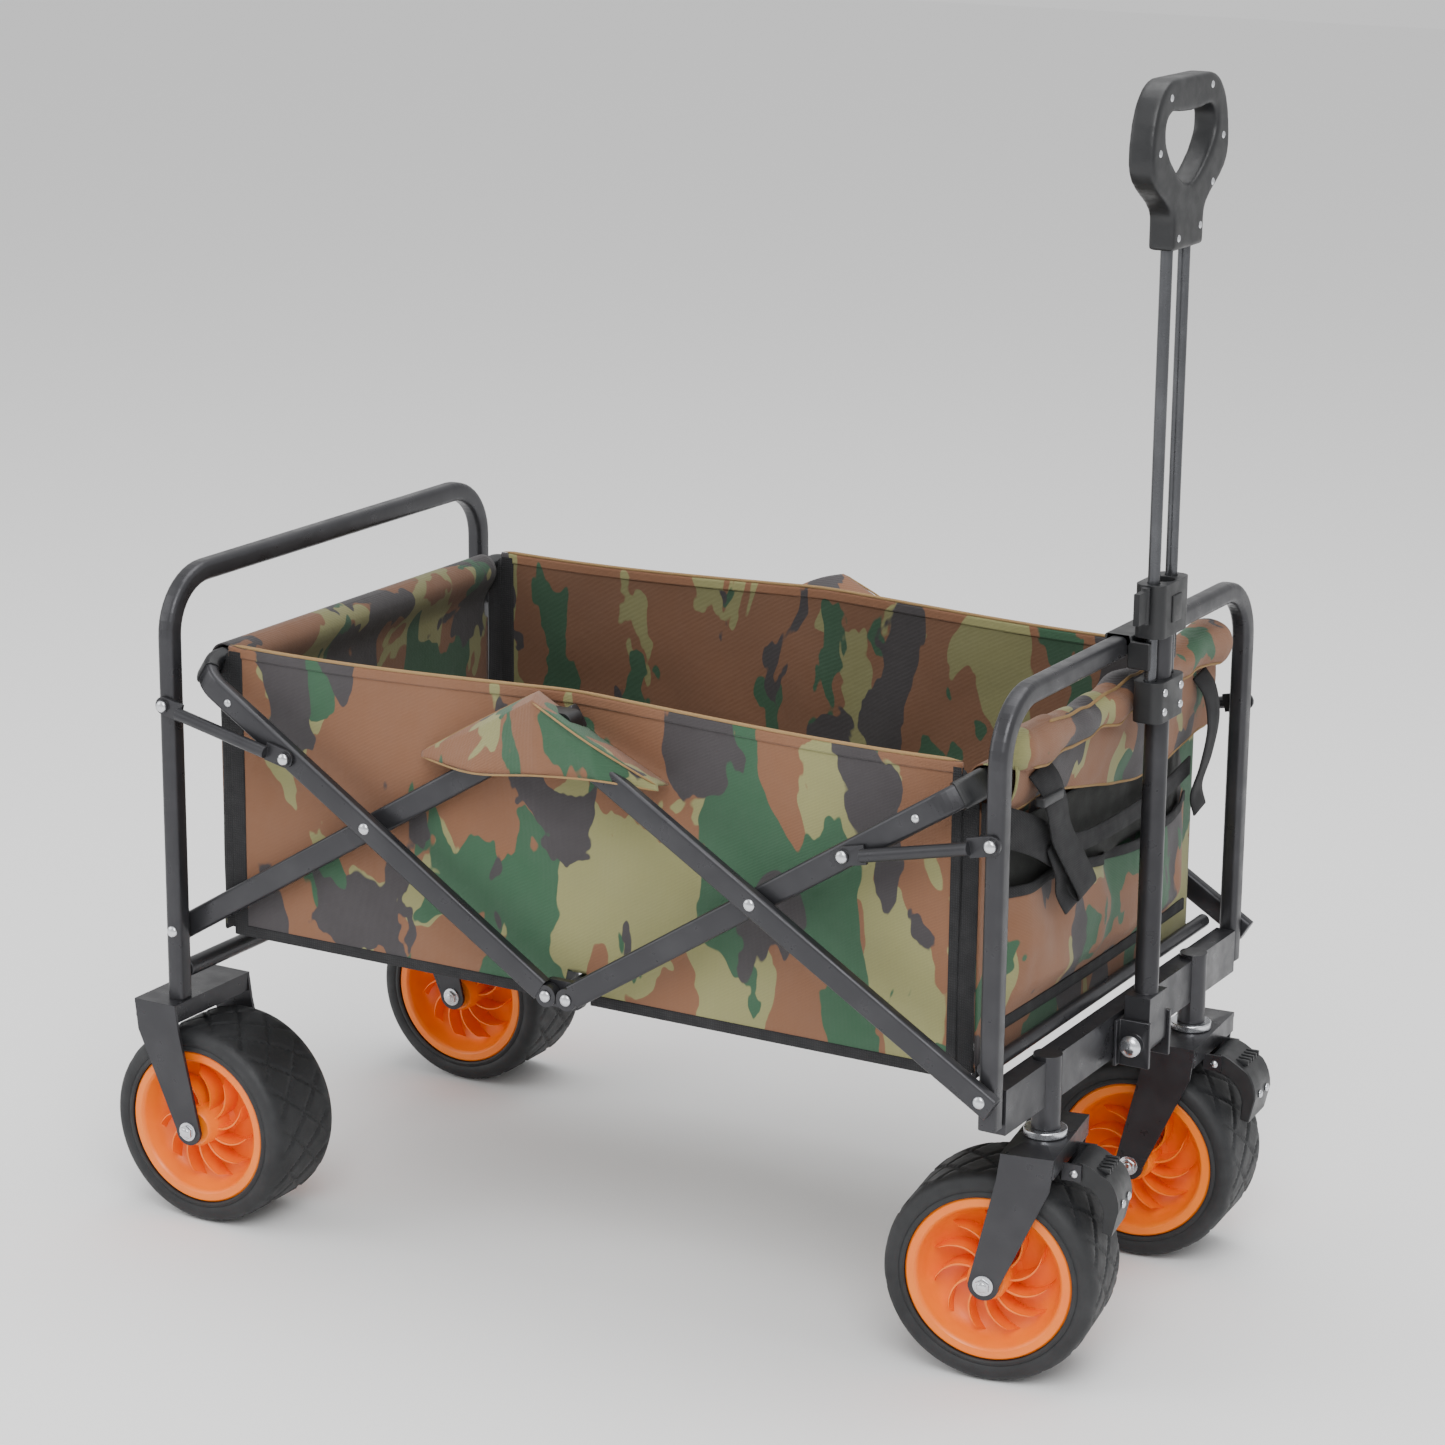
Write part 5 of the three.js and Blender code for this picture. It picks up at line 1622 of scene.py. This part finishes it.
        bm = cloth_grid(130, 50, bulge)
        pocket = show(bm, "front_pocket_cloth", "front_wall", Finish.CLOTH, ["front_pockets"], wall=1.2)
        self.crumple(pocket)
        rim = cloth_grid(110, 3, lambda u, v: bulge(u, 1.0) + Vector((0.9, 0, (9 * v - 5.5))) * MM)
        binding = show(rim, "front_pocket_tape", "front_wall", Finish.TAPE, wall=1.4)
        self.crumple(binding)
        base = ribbon([at(768, -192, 301), at(769, 0, 299), at(768, 192, 301)], Vector((0, 0, 1)), 10, 20)
        hem = show(base, "front_base_tape", "front_wall", Finish.TAPE, wall=1.8)
        self.crumple(hem)

    def straps(self) -> None:
        """Hangs the webbing straps with their loose ends."""
        for name, across, width, places in self.tapes:
            tape = ribbon([at(*place) for place in places], Vector(across), width)
            strap = show(tape, f"front_strap_{name}", "front_wall", Finish.TAPE, wall=1.7)
            self.crumple(strap)
        low, high = self.buckle
        block = slab(at(*low), at(*high), 1.5)
        buckle = show(block, "front_strap_buckle", "front_wall", Finish.PLASTIC)
        self.crumple(buckle)

    def build(self) -> None:
        """Makes all the front gear."""
        self.roll()
        self.apron()
        self.pockets()
        self.straps()


# ------------------------------------------------------------------ surroundings
@dataclass
class Studio:
    """The camera, the floor and the soft lights."""

    azimuth: float = math.radians(29.63)
    elevation: float = math.radians(15.24)
    roll: float = math.radians(0.51)
    distance: float = 3350.2
    target: tuple[float, float, float] = (411.1, 0.0, 458.8)
    lens: float = 96.1

    def camera(self) -> None:
        """Places the camera."""
        lens = bpy.data.cameras.new("camera")
        lens.lens = self.lens
        lens.sensor_width = 36
        lens.clip_end = 50
        eye = bpy.data.objects.new("camera", lens)
        bpy.context.scene.collection.objects.link(eye)
        a, e = self.azimuth, self.elevation
        back = Vector((math.sin(a) * math.cos(e), -math.cos(a) * math.cos(e), math.sin(e)))
        right = Vector((math.cos(a), math.sin(a), 0))
        up = back.cross(right)
        side = right * math.cos(self.roll) + up * math.sin(self.roll)
        over = up * math.cos(self.roll) - right * math.sin(self.roll)
        turn = Matrix((side, over, back)).transposed().to_4x4()
        place = at(*self.target) + back * self.distance * MM
        eye.matrix_world = Matrix.Translation(place) @ turn
        bpy.context.scene.camera = eye

    def light(self, name: str, place: tuple[float, float, float], size: float, power: float) -> None:
        """Hangs a soft light that faces the wagon.

        Args:
            name: the light's name.
            place: where it hangs, in metres.
            size: its side, in metres.
            power: in watts.
        """
        lamp = bpy.data.lights.new(name, "AREA")
        lamp.shape = "SQUARE"
        lamp.size = size
        lamp.energy = power
        holder = bpy.data.objects.new(name, lamp)
        bpy.context.scene.collection.objects.link(holder)
        spot = Vector(place)
        aim = (Vector((0, 0, 0.35)) - spot).to_track_quat("-Z", "Y")
        holder.matrix_world = Matrix.Translation(spot) @ aim.to_matrix().to_4x4()

    def build(self) -> None:
        """Sets up the whole studio."""
        self.camera()
        world = bpy.data.worlds.new("studio")
        bpy.context.scene.world = world
        world.use_nodes = True
        world.node_tree.nodes["Background"].inputs[0].default_value = (1, 1, 1, 1)
        world.node_tree.nodes["Background"].inputs[1].default_value = 0.85
        self.light("key", (1.6, -2.6, 3.2), 2.4, 120)
        self.light("fill", (-3.0, -2.2, 2.0), 2.6, 45)
        self.light("top", (0.2, 0.6, 3.6), 2.6, 70)
        bm = bmesh.new()
        bmesh.ops.create_grid(bm, x_segments=1, y_segments=1, size=12)
        mesh = bpy.data.meshes.new("studio_floor")
        bm.to_mesh(mesh)
        bm.free()
        recipe = Recipe("studio floor")
        recipe.set(Roughness=0.9)
        recipe.shader.inputs["Base Color"].default_value = (0.93, 0.93, 0.93, 1)
        mesh.materials.append(recipe.material)
        ground = bpy.data.objects.new("studio_floor", mesh)
        bpy.context.scene.collection.objects.link(ground)


def main() -> None:
    """Builds the wagon's pieces."""
    logging.basicConfig(level=logging.INFO, format="%(message)s")
    Studio().build()
    FrameTubes().build()
    Rivets().build()
    wheel = Wheel()
    for name, side in SIDES:
        wheel.build("rear", name, at(REAR_WHEEL_X, side * REAR_WHEEL_Y, WHEEL_Z), 0)
    casters = Casters()
    for name, side in SIDES:
        turn = casters.turns[name]
        lag = Vector((math.cos(math.radians(turn)), math.sin(math.radians(turn)), 0)) * casters.trail * MM
        wheel.build("front", name, at(casters.x, side * casters.y, WHEEL_Z) - lag, turn)
    casters.build()
    Handle().build()
    Tub().build()
    FrontGear().build()


if __name__ == "__main__":
    main()
